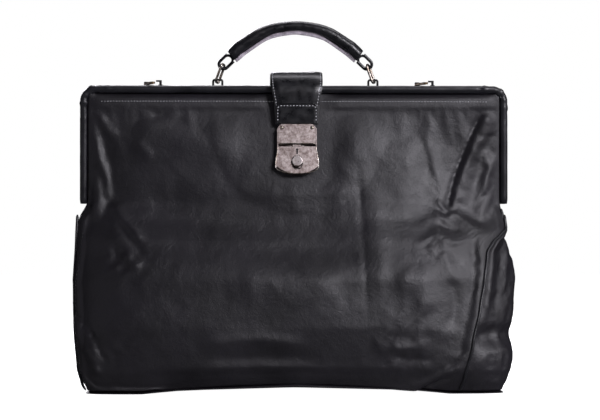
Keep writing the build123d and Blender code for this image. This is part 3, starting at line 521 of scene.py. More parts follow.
# leather lapped over itself: line, height of the lap on the line's right side, how far it reaches
FRONT_LAPS = (
    (((199, 288), (188, 278), (181, 262), (169, 236), (160, 213), (154, 190), (152, 172)), 3.6, 17.0),
    (((-186, 250), (-190, 226), (-189, 200), (-183, 178)), 0.8, 12.0),
    (((-184, 30), (-200, 58), (-221, 84)), 2.6, 12.0),
    (((162, 180), (148, 176), (138, 182)), 2.2, 7.0),
)
# each fold of the front: line, height, width, sharpness
FRONT_FOLDS = (
    # right of the lap, and the pinched cluster where it ends
    (((205, 254), (188, 252), (178, 256)), -2.2, 2.4, 0.7),
    (((204, 236), (192, 214), (186, 192)), 2.2, 5.0, 0.8),
    (((140, 192), (148, 180), (158, 176)), 2.2, 3.0, 0.8),
    (((140, 168), (150, 162), (164, 158)), -2.6, 2.6, 0.8),
    (((134, 160), (147, 151), (162, 147)), 2.2, 3.6, 0.8),
    (((128, 148), (136, 138), (148, 130)), 1.6, 4.0, 0.8),
    # upper left corner
    (((-200, 291), (-191, 270), (-176, 246), (-164, 231)), 1.6, 8.0, 0.9),
    (((-160, 250), (-150, 240), (-140, 230)), 1.8, 6.0, 0.9),
    (((-188, 262), (-189, 230), (-188, 196), (-184, 176)), -1.2, 8.0, 0.9),
    (((-206, 216), (-197, 201), (-193, 186), (-201, 172)), 3.6, 7.0, 0.9),
    (((-184, 192), (-168, 168), (-147, 146)), 2.8, 4.6, 0.8),
    (((-176, 172), (-162, 152), (-146, 134)), -2.6, 4.0, 0.8),
    (((-181, 146), (-172, 132), (-160, 120)), -3.0, 5.0, 0.8),
    (((-170, 138), (-160, 128), (-150, 122)), 2.2, 4.0, 0.8),
    # broad forms of the middle
    (((-176, 268), (-120, 256), (-46, 234)), 4.2, 22.0, 1.0),
    (((-186, 186), (-120, 176), (-20, 156), (90, 140)), -6.0, 26.0, 1.0),
    (((36, 244), (90, 232), (136, 226)), 3.4, 26.0, 1.0),
    (((20, 190), (80, 186), (130, 192)), 2.4, 22.0, 1.0),
    (((-100, 50), (-40, 54), (14, 49)), 2.6, 7.0, 0.9),
    (((-96, 36), (-30, 38), (30, 36)), -2.0, 8.0, 0.9),
    (((62, 232), (66, 160), (70, 60)), -0.8, 2.4, 0.7),
    (((74, 232), (80, 160), (84, 80)), 1.0, 12.0, 1.0),
    (((-70, 108), (0, 100), (50, 106)), 2.4, 18.0, 1.0),
    (((96, 120), (120, 104), (130, 76)), 2.2, 14.0, 1.0),
    # lower corners
    (((-212, 54), (-198, 32), (-190, 14)), 3.0, 5.0, 0.8),
    (((70, 54), (100, 45), (128, 48)), 1.6, 5.0, 0.8),
    (((84, 42), (108, 35), (138, 34)), -1.6, 4.4, 0.8),
    (((150, 118), (156, 90), (150, 60)), -2.0, 7.0, 0.9),
)
# the folds of the back, in the same way
REAR_FOLDS = (
    (((-190, 270), (-150, 226), (-120, 200)), 3.4, 7, 0.8),
    (((192, 276), (176, 240), (166, 200), (168, 170)), -4.2, 6, 0.8),
    (((180, 270), (160, 232), (148, 200)), 3.0, 7, 0.9),
    (((-160, 164), (0, 150), (160, 168)), -4.0, 24, 1.0),
    (((-120, 60), (-20, 48), (90, 58)), 3.0, 10, 0.9),
    (((-206, 90), (-180, 56), (-150, 30)), -3.0, 6, 0.8),
    (((206, 100), (186, 66), (170, 30)), 3.0, 7, 0.8),
)
REAR_SEED = 31.0
# under the jaw the leather is doubled into a band, with a fold and a soft valley below it
BAND_LOW = 283.5


def lap(x, z, points, height, reach):
    """Height of leather lapped over itself: a sharp groove along the line, with the lap to its right."""
    if not (min(p[0] for p in points) - 3 * reach < x < max(p[0] for p in points) + 3 * reach):
        return 0.0
    away, side, along = line_distance(x, z, points)
    taper = smooth(0, 0.14, along) * smooth(0, 0.22, 1 - along)
    uneven = 1 + 0.5 * rough(x, 0, z, 16, 21)
    groove = -0.8 * height * math.exp(-((away / 2.2) ** 1.3)) * uneven
    over = away + 3 * rough(x, 0, z, 11, 23)
    raised = height * 0.85 * math.exp(-(((over - 0.35 * reach) / (0.65 * reach)) ** 2)) if side > 0 else 0.0
    return taper * (groove + raised)


# where the front is crumpled: across, up, how far round it
CRUMPLED = (
    (150, 168, 26), (145, 138, 22), (196, 240, 26), (105, 44, 30), (-196, 196, 24),
    (-168, 130, 20), (-200, 40, 26), (-192, 270, 22), (196, 284, 20), (170, 30, 22),
)


def crumple(x, z):
    """How crumpled the front's leather is, from 0 to 1."""
    return min(1.0, sum(math.exp(-((x - a) ** 2 + (z - b) ** 2) / r ** 2) for a, b, r in CRUMPLED))


def wrinkles(x, z, seed=0.0):
    """Irregular creasing: faint everywhere, strong where the leather is crumpled."""
    warp = 8 * rough(x, 0, z, 45, seed + 3)
    creased = 1 - abs(rough(x + warp, 0, z - warp, 21, seed)) * 2.2
    fine = 1 - abs(rough(x - warp, 0, z + warp, 9, seed + 7)) * 2.2
    broad = rough(x, 0, z, 70, seed + 11)
    worn = crumple(x, z) if seed == 0 else 0.35 + 0.3 * rough(x, 0, z, 60, seed + 5)
    broad *= 1.2 - 0.6 * smooth(180, 225, z)
    return broad + creased * (0.25 + 1.1 * worn) + fine * (0.05 + 0.5 * worn)


def front_relief(x, z):
    """How far the front stands proud of its plain form."""
    relief = sum(ridge(x, z, *fold) for fold in FRONT_FOLDS) + wrinkles(x, z)
    relief += sum(lap(x, z, *fold) for fold in FRONT_LAPS)
    top = smooth(BAND_LOW - 14, BAND_LOW - 3, z)
    relief *= 1 - top
    relief -= 0.7 * math.exp(-((z - BAND_LOW + 9) / 6.5) ** 2)
    wave = 0.8 * rough(x, 0, 0, 14)
    relief += (1.1 + 0.35 * wave) * math.exp(-((z - BAND_LOW + 1.5 + wave) / 2.2) ** 2)
    relief += 0.9 * smooth(BAND_LOW - 1, BAND_LOW + 1.5, z) - 3.0 * smooth(PANEL_TOP - 4.5, PANEL_TOP - 1, z)
    # the leather is pressed flat under the lock
    lock = smooth(42, 24, abs(x - STRAP_X)) * smooth(205, 214, z)
    return relief * (1 - 0.92 * lock)


def rear_relief(x, z):
    """The back has its own softer sag and creases."""
    relief = wrinkles(x, z, REAR_SEED)
    for fold in REAR_FOLDS:
        relief += ridge(x, z, *fold)
    strap = smooth(44, 28, abs(x - STRAP_X)) * smooth(222, 232, z)
    return relief * (1 - smooth(270, 284, z)) * (1 - strap)


# ------------------------------------------------------------------ body of the bag
def body_point(z, angle):
    """A point of the lower bag's outline: angle 0 at the right side, 90 in front, 180 at the left."""
    half, depth, square = table(BODY, z), table(BODY, z, 2), table(BODY, z, 3)
    c, s = math.cos(math.radians(angle)), math.sin(math.radians(angle))
    x = half * math.copysign(abs(c) ** (2 / square), c)
    y = -depth * math.copysign(abs(s) ** (2 / square), s)
    return x, y


def seam_angle(z, x):
    """Angle at which the outline reaches a distance from the middle."""
    return math.degrees(math.acos(min(0.99999, abs(x) / table(BODY, z)) ** (table(BODY, z, 3) / 2)))


LEFT_SEAM_ANGLE = 172.0
REAR_SEAM = 0.955               # where the rear seams run, as a share of the body's half width
SEAM_GAP = 0.4                  # degrees between a wall's edge and the gusset's
OUTLINE_STEPS = 160


def lower_line(z, start, end, count):
    """Evenly spaced points round the lower outline between two angles."""
    steps = range(OUTLINE_STEPS + 1)
    return resample([(*body_point(z, start + (end - start) * k / OUTLINE_STEPS), z) for k in steps], count)


def upper_line(z, side, count):
    """Evenly spaced points across an upper wall, between the jaw's legs."""
    line = []
    for k in range(count):
        x = PANEL_HALF * (2 * k / (count - 1) - 1)
        y = PANEL_AT_JAW + (panel_y(z) - PANEL_AT_JAW) * (1 - abs(x / PANEL_HALF) ** 4)
        line.append(Vector((x, side * y, z)))
    return line


def wall_rows(side, relief, columns=150, rows=105):
    """Rows of a front or rear wall, from the base to the jaw, with its relief."""
    sheet = []
    flat_from = 196 if side < 0 else 216
    for r in range(rows):
        z = PANEL_TOP * (r / (rows - 1))
        if side < 0:
            right = seam_angle(z, table(FRONT_SEAM, z))
            lower = lower_line(z, LEFT_SEAM_ANGLE, right, columns)
        else:
            reach = seam_angle(z, REAR_SEAM * table(BODY, z))
            lower = lower_line(z, -180 + reach, -reach, columns)
        upper = upper_line(z, side, columns)
        row = []
        for c, (a, b) in enumerate(zip(lower, upper)):
            edge = abs(2 * c / (columns - 1) - 1) ** 3
            join = smooth(120 + 46 * edge, 236 - 40 * edge, z)
            # flat where the lock or the strap's rear end lies on the wall
            flat = smooth(120, 34, abs(b.x - STRAP_X)) * smooth(flat_from - 30, flat_from + 14, z)
            join = max(join, flat)
            row.append(Vector((a.x + (b.x - a.x) * smooth(166, 196, z), a.y + (b.y - a.y) * join, z)))
        sheet.append(row)
    result = []
    for r, row in enumerate(sheet):
        out = []
        for c, p in enumerate(row):
            normal = normal_at(sheet, r, c) * (-1 if side > 0 else 1)
            normal *= 1 if normal.y * side > 0 or abs(normal.y) < 0.3 else -1
            if abs(normal.y) < 0.3 and normal.x * p.x < 0:
                normal *= -1
            edge = min(c, columns - 1 - c)
            calm = smooth(0, 5, edge) * (0.25 + 0.75 * smooth(0, 14, p.z))
            moved = p + normal * (relief(p.x, p.z) * calm)
            moved.z = base_lift(moved.x, moved.z) + BOTTOM * (1 - smooth(0, 30, p.z))
            out.append(moved)
        result.append(out)
    return result


TURN_STEPS = 5


def base_lift(x, z):
    """Raises the bottom of a wall over the arched base."""
    return z + base_z(x) * (1 - smooth(0, 40, z))


def turned_under(rows, depth=9.0):
    """Adds rows that roll the wall's bottom edge under the bag."""
    extra = []
    for k in range(TURN_STEPS, 0, -1):
        angle = math.pi / 2 * k / TURN_STEPS
        inward = depth * (1 - math.cos(angle))
        row = []
        for p in rows[0]:
            outward = Vector((p.x * 0.25, p.y, 0)).normalized()
            row.append(p - outward * inward + Vector((0, 0, -LEATHER * math.sin(angle))))
        extra.append(row)
    return extra + rows


SETTLE_FRAMES = 16
CALM_Z = 246                    # the leather stays calm round the lock, at this height


def settle(rows, grow, cap):
    """Rows of a wall let buckle as a cloth larger than the frame it is sewn to, by no more than cap."""
    count = len(rows[0])
    piece = grid("settling", rows)
    sewn = piece.vertex_groups.new(name="sewn")
    for r, row in enumerate(rows):
        for c, p in enumerate(row):
            edge = min(c, count - 1 - c)
            hold = max(smooth(4, 0, edge), smooth(BAND_LOW - 7, BAND_LOW, p.z), smooth(9, 3, p.z))
            if hold > 0:
                sewn.add([r * count + c], min(1.0, hold), "REPLACE")
    cloth = piece.modifiers.new("cloth", "CLOTH")
    settings = cloth.settings
    settings.quality = 7
    settings.mass = 0.15
    settings.tension_stiffness = settings.compression_stiffness = 30
    settings.shear_stiffness = 12
    settings.bending_stiffness = 14.0
    settings.shrink_min = -grow
    settings.vertex_group_mass = "sewn"
    settings.effector_weights.gravity = 0.4
    cloth.point_cache.frame_start = 1
    cloth.point_cache.frame_end = SETTLE_FRAMES
    for number in range(1, SETTLE_FRAMES + 1):
        bpy.context.scene.frame_set(number)
    graph = bpy.context.evaluated_depsgraph_get()
    settled = [v.co / MM for v in piece.evaluated_get(graph).data.vertices]
    bpy.context.scene.frame_set(1)
    mesh = piece.data
    bpy.data.objects.remove(piece)
    bpy.data.meshes.remove(mesh)
    result = []
    for r, row in enumerate(rows):
        out = []
        for c, p in enumerate(row):
            from_lock = math.hypot(p.x - STRAP_X, p.z - CALM_Z)
            move = (settled[r * count + c] - p) * (1 - smooth(170, 40, from_lock))
            out.append(p + move * min(1.0, cap / max(1e-6, move.length)))
        result.append(out)
    return result


def refine(piece):
    """One level of subdivision, made part of the mesh."""
    finer = piece.modifiers.new("finer", "SUBSURF")
    finer.levels = finer.render_levels = 1
    return apply_modifiers(piece)


def drawn_in(rows, side, inset):
    """Every other row and column of a wall, above the part rolled under, moved inwards."""
    thin = [row[::2] for row in rows[TURN_STEPS + 1::2]]
    result = []
    for r, row in enumerate(thin):
        out = []
        for c, p in enumerate(row):
            out.append(p + normal_at(thin, r, c) * side * inset)
        result.append(out)
    return result


def front_leather():
    """The front wall. Returns its rows."""
    rows = turned_under(settle(wall_rows(-1, front_relief), 0.005, 3.5))
    piece = refine(thicken(grid("front_leather", rows), LEATHER))
    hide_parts("front_panel_lower", "front_panel_upper")
    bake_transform(piece)
    dress(piece, "black_leather")
    return rows


def rear_leather():
    """The rear wall. Returns its rows."""
    rows = turned_under(settle(wall_rows(1, rear_relief), 0.009, 4.5))
    piece = refine(thicken(grid("rear_leather", rows), LEATHER))
    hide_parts("rear_panel")
    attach(piece, "root")
    dress(piece, "black_leather")
    return rows


def tuck(z):
    """How far the gusset's middle is drawn in between the jaws at a height."""
    return 24 * smooth(120, 182, z) + 5 * smooth(50, 120, z)


def gusset_rows(side, columns=64, rows=92, inset=0.0, top=181.0):
    """Rows of a gusset, round the side from the front seam to the rear one."""
    result = []
    for r in range(rows):
        z = top * r / (rows - 1)
        if side > 0:
            start = seam_angle(z, table(FRONT_SEAM, z)) + SEAM_GAP
            line = lower_line(z, start, -seam_angle(z, REAR_SEAM * table(BODY, z)), columns)
        else:
            end = 180 + seam_angle(z, REAR_SEAM * table(BODY, z))
            line = lower_line(z, LEFT_SEAM_ANGLE - SEAM_GAP, end, columns)
        row = []
        length = line_length(line)
        for c, p in enumerate(line):
            a = run_at(line, c)
            normal = Vector((a.y, -a.x, 0)).normalized()
            if normal.x * side < -0.2 or (abs(normal.x) <= 0.2 and normal.y * p.y < 0):
                normal *= -1
            run = length * c / (columns - 1)
            calm = smooth(0, 4, c) * smooth(0, 4, columns - 1 - c)
            swell = smooth(20, 120, z)
            drift = 6 * rough(0, run, z, 50, side * 9.0)
            pleat = math.sin((run + drift) / 6.4 + side) * 2.0 + math.sin((run - drift) / 3.4) * 0.8
            bulge = -1.0 if side > 0 else 2.0 * swell
            if side > 0:
                bulge += 2.0 * math.exp(-((z - 34) / 12) ** 2) - 4.0 * math.exp(-((z - 58) / 10) ** 2)
            lift = bulge + pleat * swell + 1.5 * wrinkles(run * 1.6, z, 50.0 + side)
            moved = p + normal * (lift * calm - inset)
            moved.x -= side * tuck(z) * math.exp(-(p.y / (10 + 0.12 * (182 - z))) ** 2)
            moved.z = base_lift(moved.x, moved.z) + BOTTOM * (1 - smooth(0, 30, p.z))
            row.append(moved)
        result.append(row)
    return result


def gussets():
    """The two side walls."""
    for name, side in (("left", -1), ("right", 1)):
        rows = turned_under(gusset_rows(side), 6.0)
        piece = thicken(grid(f"gusset_leather_{name}", rows, flip=side < 0), LEATHER)
        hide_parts(f"gusset_{name}")
        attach(piece, "root")
        dress(piece, "black_leather")


FAN_LOW, FAN_HIGH = 170, 291
FAN_OUT = 204.6                 # the fan's sewn edges, from the middle
FAN_HALF = 11.2                 # the fan's half depth
FAN_FOLD = 13.5                 # how far its fold is tucked in
FAN_ROWS, FAN_COLUMNS = 46, 29


def gusset_fans():
    """The V-shaped folds of the gussets, between the legs of the two jaws."""
    for name, side in (("left", -1), ("right", 1)):
        rows = []
        for r in range(FAN_ROWS):
            z = FAN_LOW + (FAN_HIGH - FAN_LOW) * r / (FAN_ROWS - 1)
            row = []
            for c in range(FAN_COLUMNS):
                share = 2 * c / (FAN_COLUMNS - 1) - 1
                fold = FAN_FOLD * (1 - abs(share)) ** 0.8 + 1.2 * rough(share * 20, 0, z, 18, side * 4.0)
                wave = 0.7 * math.sin(z / 7 + share * 3)
                x = side * (FAN_OUT - max(0.0, fold + wave * (1 - abs(share))))
                row.append(Vector((x, share * FAN_HALF, z)))
            rows.append(row)
        piece = thicken(grid(f"gusset_fan_{name}", rows, flip=side < 0), 1.2, 0.0)
        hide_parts(f"gusset_fold_{name}")
        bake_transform(piece)
        dress(piece, "black_leather")


PIPING_LOW, PIPING_HEIGHT, PIPING_STEPS = 3, 172, 70


def seam_piping():
    """A thin welt along each seam between wall and gusset."""
    for name, side in (("front", -1), ("rear", 1)):
        points, faces = [], []
        for end in (-1, 1):
            line = []
            for k in range(PIPING_STEPS):
                z = PIPING_LOW + PIPING_HEIGHT * k / (PIPING_STEPS - 1)
                if side < 0:
                    angle = LEFT_SEAM_ANGLE if end < 0 else seam_angle(z, table(FRONT_SEAM, z))
                else:
                    reach = seam_angle(z, REAR_SEAM * table(BODY, z))
                    angle = -180 + reach if end < 0 else -reach
                x, y = body_point(z, angle)
                line.append(Vector((x, y, base_lift(x, z))))
            rings = []
            for k, p in enumerate(line):
                out = Vector((p.x / 6, p.y, 0)).normalized()
                across = out.cross(Vector((0, 0, 1)))
                radius = 1.5 if 0 < k < PIPING_STEPS - 1 else 0.7
                rings.append([
                    p + (out * math.cos(a) + across * math.sin(a)) * radius + out * 0.4 for a in around(10)
                ])
            add_rings(points, faces, rings)
        piece = make_object(f"{name}_piping", points, faces)
        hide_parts(f"{name}_seam_welts")
        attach(piece, "root")
        dress(piece, "roll")


# rings of the base from its upper side, round its edge, to its underside: inset, height
BASE_RINGS = (
    (14, 1.8), (5, 1.7), (1.5, 0.9), (0.6, 0.2), (2.0, 0.0), (8, -0.1), (20, 0.0), (40, 0.0), (59, 0.0),
)
BASE_POINTS = 120
BASE_Z = 4                      # height at which the base takes its outline from the body
BASE_END = 140                  # past this distance from the middle a ring's ends are drawn in too


def base_leather():
    """The arched base, soft at its corners."""
    rings = []
    for inset, height in BASE_RINGS:
        ring = []
        for k in range(BASE_POINTS):
            x, y = body_point(BASE_Z, 360 * k / BASE_POINTS)
            drawn = x - math.copysign(min(abs(x), inset), x)
            px = drawn if abs(x) > BASE_END else x * (1 - inset / 1200)
            py = y * max(0.02, 1 - inset / 62)
            ring.append(Vector((px, py, base_z(px) + max(FLOOR_GAP, height + 0.1))))
        rings.append(ring)
    piece = tube("base_leather", rings)
    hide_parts("base_panel")
    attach(piece, "root")
    dress(piece, "black_leather")


# ------------------------------------------------------------------ jaws
CORNER_STEPS = 10
ROLL_GAP = 0.75                 # the rolls stop this far from the line where the jaws meet


def jaw_path(outset=JAW_BAR / 2, step=2.4):
    """Middle line of a jaw, up one leg, across and down the other, with its outward directions."""
    half = JAW_HALF - outset
    top = JAW_TOP - outset
    radius = JAW_CORNER - outset
    line = []
    leg = top - radius - JAW_FOOT
    count = int(leg / step)
    for k in range(count):
        line.append((Vector((-half, 0, JAW_FOOT + leg * k / count)), Vector((-1, 0, 0))))
    for k in range(CORNER_STEPS):
        a = math.pi - math.pi / 2 * k / CORNER_STEPS
        out = Vector((math.cos(a), 0, math.sin(a)))
        line.append((Vector((-half + radius, 0, top - radius)) + out * radius, out))
    count = int(2 * (half - radius) / step)
    for k in range(count):
        line.append((Vector((-half + radius + 2 * (half - radius) * k / count, 0, top)), Vector((0, 0, 1))))
    mirrored = [(Vector((-p.x, p.y, p.z)), Vector((-o.x, o.y, o.z))) for p, o in line[:-count]]
    return line + mirrored[::-1]


def section(half_width, half_depth, corner, count=28):
    """Points round a rounded rectangle."""
    points = []
    power = 2 / corner
    for a in around(count):
        c, s = math.cos(a), math.sin(a)
        across = half_width * math.copysign(abs(c) ** power, c)
        points.append((across, half_depth * math.copysign(abs(s) ** power, s)))
    return points


def jaw_rolls():
    """Leather rolled over each jaw, gathered into small pleats round its corners."""
    for name, side in (("front", -1), ("rear", 1)):
        line = jaw_path()
        run = 0.0
        rings = []
        for k, (p, out) in enumerate(line):
            if k:
                run += (p - line[k - 1][0]).length
            from_corner = (abs(p.x) - (JAW_HALF - 8)) ** 2 + (p.z - JAW_TOP + 8) ** 2
            near = math.exp(-(from_corner / 20 ** 2))
            pleat = near * (0.9 * math.sin(run / 1.3) + 0.8 * math.sin(run / 2.5 + side))
            end = min(k, len(line) - 1 - k)
            tight = 0.80 + 0.20 * smooth(-1, 2, end)
            ring = []
            for a, b in section(JAW_BAR / 2 * tight, JAW_DEPTH / 2 * tight, 2.35):
                swell = 0.22 * rough(p.x + a, b * 3, p.z, 11, side * 3.0)
                grow = 1 + (swell + pleat * (0.5 + 0.5 * math.sin(b + run / 4))) / 6
                offset = out * a * grow + Vector((0, 1, 0)) * (b * grow)
                ring.append(p + offset + Vector((0, side * (JAW_GAP + JAW_DEPTH / 2), 0)))
            # the roll never crosses the line where the jaws meet
            for q in ring:
                q.y = side * max(ROLL_GAP, side * q.y)
            rings.append(ring)
        piece = tube(f"{name}_jaw_roll", rings)
        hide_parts(f"{name}_jaw_cover")
        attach(piece, "front_jaw" if side < 0 else "root")
        dress(piece, "roll")


# ------------------------------------------------------------------ stitches
def stitches(name, places, length=1.5, width=0.42, material="thread"):
    """One mesh of small stitches, each at a centre, along its row and out from its surface."""
    points, faces = [], []
    for centre, along, out in places:
        along = along.normalized()
        across = along.cross(out).normalized()
        out = across.cross(along).normalized()
        rings = []
        for share in (-1.0, -0.7, 0.0, 0.7, 1.0):
            reach = max(0.25, 1 - abs(share) ** 3) * width
            lift = 0.22 * width * (1 - share * share) * 2 - 0.1
            middle = centre + along * (share * length / 2) + out * lift
            rings.append([middle + (across * math.cos(a) + out * math.sin(a)) * reach for a in around(6)])
        add_rings(points, faces, rings)
    piece = make_object(name, points, faces)
    return dress(piece, material)


def stitch_places(line, pitch, out):
    """Stitch places along a line, with a fixed outward direction or one for each point."""
    count = max(3, int(line_length(line) / pitch))
    even = resample(line, count)
    places = []
    for k in range(1, count - 1):
        places.append((even[k], run_at(even, k), out(even[k]) if callable(out) else out))
    return places


BAND_STITCH_Z = 288.2
BAND_STITCH_END = 195


def wall_stitches(front_rows, rear_rows):
    """The row under each jaw, and the rows beside the seams."""
    for name, rows, side, body in (("front", front_rows, -1, "front_jaw"), ("rear", rear_rows, 1, "root")):
        out = Vector((0, side, 0.1))
        row = min(rows, key=lambda r: abs(r[len(r) // 2].z - BAND_STITCH_Z))
        inner = [p for p in row if abs(p.x) < BAND_STITCH_END]
        band = stitches(f"{name}_band_stitches", stitch_places(inner, 2.9, out), 1.45, 0.32)
        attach(band, body)
        places = []
        for column in (4, -5):
            line = [r[column] for r in rows if 8 < r[column].z < 160]
            places += stitch_places(line, 3.4, lambda p: Vector((p.x / 5, p.y, 0)).normalized())
        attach(stitches(f"{name}_seam_stitches", places, 2.2, 0.4, "roll"), "root")


# ------------------------------------------------------------------ strap
STRAP_R = 22.6
STRAP_Z = 293.6
STRAP_THICK = 3.9
STRAP_POINTS = 150
STRAP_HALF = 25.9
SLOT_Z = 265                    # below this height the tongue lies under the hasp
STITCH_INSET = 2.0
STITCH_PITCH = 2.9
PATCH_HALF = 21.4
PATCH_LOW = 265.0
PATCH_HIGH = 285.5
PATCH_CORNER = 5.0
PATCH_INSET = 2.4               # its stitches, from its edge
PATCH_TOP = 1.45                # height of its face above the strap's


def strap_line():
    """Middle line of the strap, from its rear end over the jaws to the lock, with outward directions."""
    line = []
    for side, over, foot in ((1, 2.5, 234.0), (-1, 4.4, 249.0)):
        bend = LEAN_FROM - (STRAP_R - PANEL_AT_JAW - over / LEAN_COS) / LEAN
        half = [Vector((0, side * (panel_y(foot) + over / LEAN_COS), foot))]
        half.append(Vector((0, side * STRAP_R, bend)))
        half.append(Vector((0, side * STRAP_R, STRAP_Z)))
        half += [
            Vector((0, side * STRAP_R * math.cos(a), STRAP_Z + STRAP_R * math.sin(a)))
            for a in [math.pi / 2 * k / 16 for k in range(1, 17)]
        ]
        line += half if side > 0 else half[-2::-1]
    even = resample(line, STRAP_POINTS)
    inner = [(even[k - 1] + even[k] * 2 + even[k + 1]) / 4 for k in range(1, len(even) - 1)]
    soft = [even[0], *inner, even[-1]]
    result = []
    for k, p in enumerate(soft):
        along = run_at(soft, k)
        result.append((p, Vector((0, -along.z, along.y)).normalized()))
    flip = 1 if result[STRAP_POINTS // 2][1].z > 0 else -1
    return [(p, n * flip) for p, n in result]


def strap_half(p):
    """Half the strap's width at a point of its middle line."""
    if p.y > 0:
        return STRAP_HALF - 1.2 * smooth(300, 240, p.z)
    wide = STRAP_HALF - 3.6 * smooth(308, 281, p.z) - 0.8 * smooth(281, 266, p.z)
    return wide - 3.4 * smooth(266, 262, p.z)


def strap_top(w, half):
    """How the strap's upper face rises across its width: crowned, with a groove along each row of stitches."""
    edge = half - abs(w)
    groove = -0.45 * math.exp(-((edge - STITCH_INSET) / 0.7) ** 2)
    return STRAP_THICK / 2 - 0.9 * smooth(1.6, 0.0, edge) + groove + 0.35 * smooth(3.4, 7.0, edge)


def strap_piece(line):
    """The strap and its two rows of stitches."""
    rings = []
    across = 44
    for p, n in line:
        half = strap_half(p)
        ring = []
        for i in range(across + 1):
            w = -half * math.cos(math.pi * i / across)
            crease = 0.05 * rough(w, p.y, p.z, 9) + 0.03 * rough(w, p.y, p.z, 4, 6)
            ring.append(p + n * (strap_top(w, half) + crease) + Vector((STRAP_X + w, 0, 0)))
        for i in range(9):
            w = half * (1 - 2 * i / 8) * 0.985
            ring.append(p - n * (STRAP_THICK / 2 - 0.5 * (i in (0, 8))) + Vector((STRAP_X + w, 0, 0)))
        rings.append(ring)
    piece = tube("strap_leather", rings)
    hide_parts("strap_tongue", "strap_root")
    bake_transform(piece)
    dress(piece, "strap_leather")
    places = []
    for side in (-1, 1):
        row = []
        for p, n in line:
            if p.y < 0 and p.z < SLOT_Z:
                continue
            half = strap_half(p)
            w = side * (half - STITCH_INSET)
            row.append((p + n * (strap_top(w, half) + 0.12) + Vector((STRAP_X + w, 0, 0)), n))
        points = [q for q, _ in row]
        even = resample(points, int(line_length(points) / STITCH_PITCH))
        for k in range(1, len(even) - 1):
            nearest = min(row, key=lambda item: (item[0] - even[k]).length)
            places.append((even[k], run_at(even, k), nearest[1]))
    thread_rows = stitches("strap_stitches", places, 1.6, 0.46)
    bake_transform(thread_rows)


def patch_piece(line):
    """The stitched patch over the strap, just above the lock."""
    stretch = [(p, n) for p, n in line if p.y < 0 and PATCH_LOW < p.z < PATCH_HIGH]
    stretch.sort(key=lambda item: -item[0].z)
    top_z = stretch[0][0].z
    rings = []
    dense = []
    for k in range(len(stretch) - 1):
        for j in range(3):
            dense.append((stretch[k][0].lerp(stretch[k + 1][0], j / 3), stretch[k][1]))
    dense.append(stretch[-1])
    for p, n in dense:
        below = top_z - p.z
        cut = rounded_off(PATCH_CORNER, below)
        half = PATCH_HALF - cut * 0.96
        edge_row = min(1.0, 0.35 + below / 1.2)
        ring = []
        for i in range(37):
            w = -half * math.cos(math.pi * i / 36)
            edge = min(half - abs(w), below + 0.2)
            height = (0.35 + 1.15 * smooth(0, 1.5, edge)) * edge_row
            height -= 0.35 * math.exp(-((edge - PATCH_INSET) / 0.7) ** 2)
            crease = 0.06 * rough(w, p.y, p.z, 7, 15)
            ring.append(p + n * (STRAP_THICK / 2 + 0.25 + height + crease) + Vector((STRAP_X + w, 0, 0)))
        for i in range(7):
            w = half * (1 - 2 * i / 6)
            ring.append(p + n * (STRAP_THICK / 2 - 0.6) + Vector((STRAP_X + w, 0, 0)))
        rings.append(ring)
    piece = tube("strap_patch_leather", rings)
    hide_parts("strap_patch")
    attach(piece, "strap")
    dress(piece, "strap_leather")
    reach, low, high, r = PATCH_HALF - PATCH_INSET, PATCH_LOW + 0.5, top_z - PATCH_INSET, 3.4
    places = [(-reach, low), (-reach, high - r)]
    places += [(-reach + r - r * math.cos(a), high - r + r * math.sin(a)) for a in (0.5, 1.0, 1.4)]
    places += [(w, high) for w in (-reach + r, -8, 0, 8, reach - r)]
    places += [(reach - r + r * math.cos(a), high - r + r * math.sin(a)) for a in (1.4, 1.0, 0.5)]
    places += [(reach, high - r), (reach, low)]
    outline = []
    for w, z in places:
        p, n = min(stretch, key=lambda item: abs(item[0].z - z))
        outline.append(Vector((STRAP_X + w, p.y, z)) + n * (STRAP_THICK / 2 + PATCH_TOP))
    rows = stitches("patch_stitches", stitch_places(outline, STITCH_PITCH, stretch[2][1]), 1.6, 0.5)
    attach(rows, "strap")


# ------------------------------------------------------------------ lock
LOCK_Z = 238.0
LOCK_FACE = 7.9


def on_lock(u, v, w):
    """A point on the lock: across it, up it, and out from the panel."""
    return Vector((
        STRAP_X + u,
        -panel_y(LOCK_Z) + v * math.sin(LEAN_ANGLE) - w * LEAN_COS,
        LOCK_Z + v * LEAN_COS + w * math.sin(LEAN_ANGLE),
    ))


def plate(name, outline, low, high):
    """A thin flat form on the lock, from its outline."""
    rings = [[on_lock(u, v, w) for u, v in outline] for w in (low, high)]
    return tube(name, rings)


def bead(name, line, radius):
    """A raised bead along a line on the lock."""
    rings = []
    out = Vector((0, -LEAN_COS, math.sin(LEAN_ANGLE)))
    for k, p in enumerate(line):
        across = run_at(line, k).normalized().cross(out).normalized()
        rings.append([p + (across * math.cos(a) + out * math.sin(a)) * radius for a in around(10)])
    return tube(name, rings)


KEYHOLE_DEPTH = 0.34            # how far the keyhole's dark plate of painted shade stands out of the plug's face
CASE_HALF, CASE_WIDE = 19.0, 21.3
CASE_TOP, CASE_WIDE_AT, CASE_LOW = 2.0, -17.0, -24.8
RIM_POINTS = 110
LIP_HALF, LIP_V = 17.6, 5.9
RIVET_U, RIVET_V = 14.9, 22
# the first radius is that of the dark disc of painted shadow round each rivet's dome
SHADOW_DISC_R, DOME_R, DOME_RISE = 1.9, 1.55, 0.75


def case_side(side, k):
    """A point down one side of the case's rim, from 0 at its top to 8 at its widest."""
    u = side * (CASE_HALF + (CASE_WIDE - CASE_HALF) * smooth(0, 1, k / 8))
    return on_lock(u, CASE_TOP + (CASE_WIDE_AT - CASE_TOP) * k / 8, LOCK_FACE)


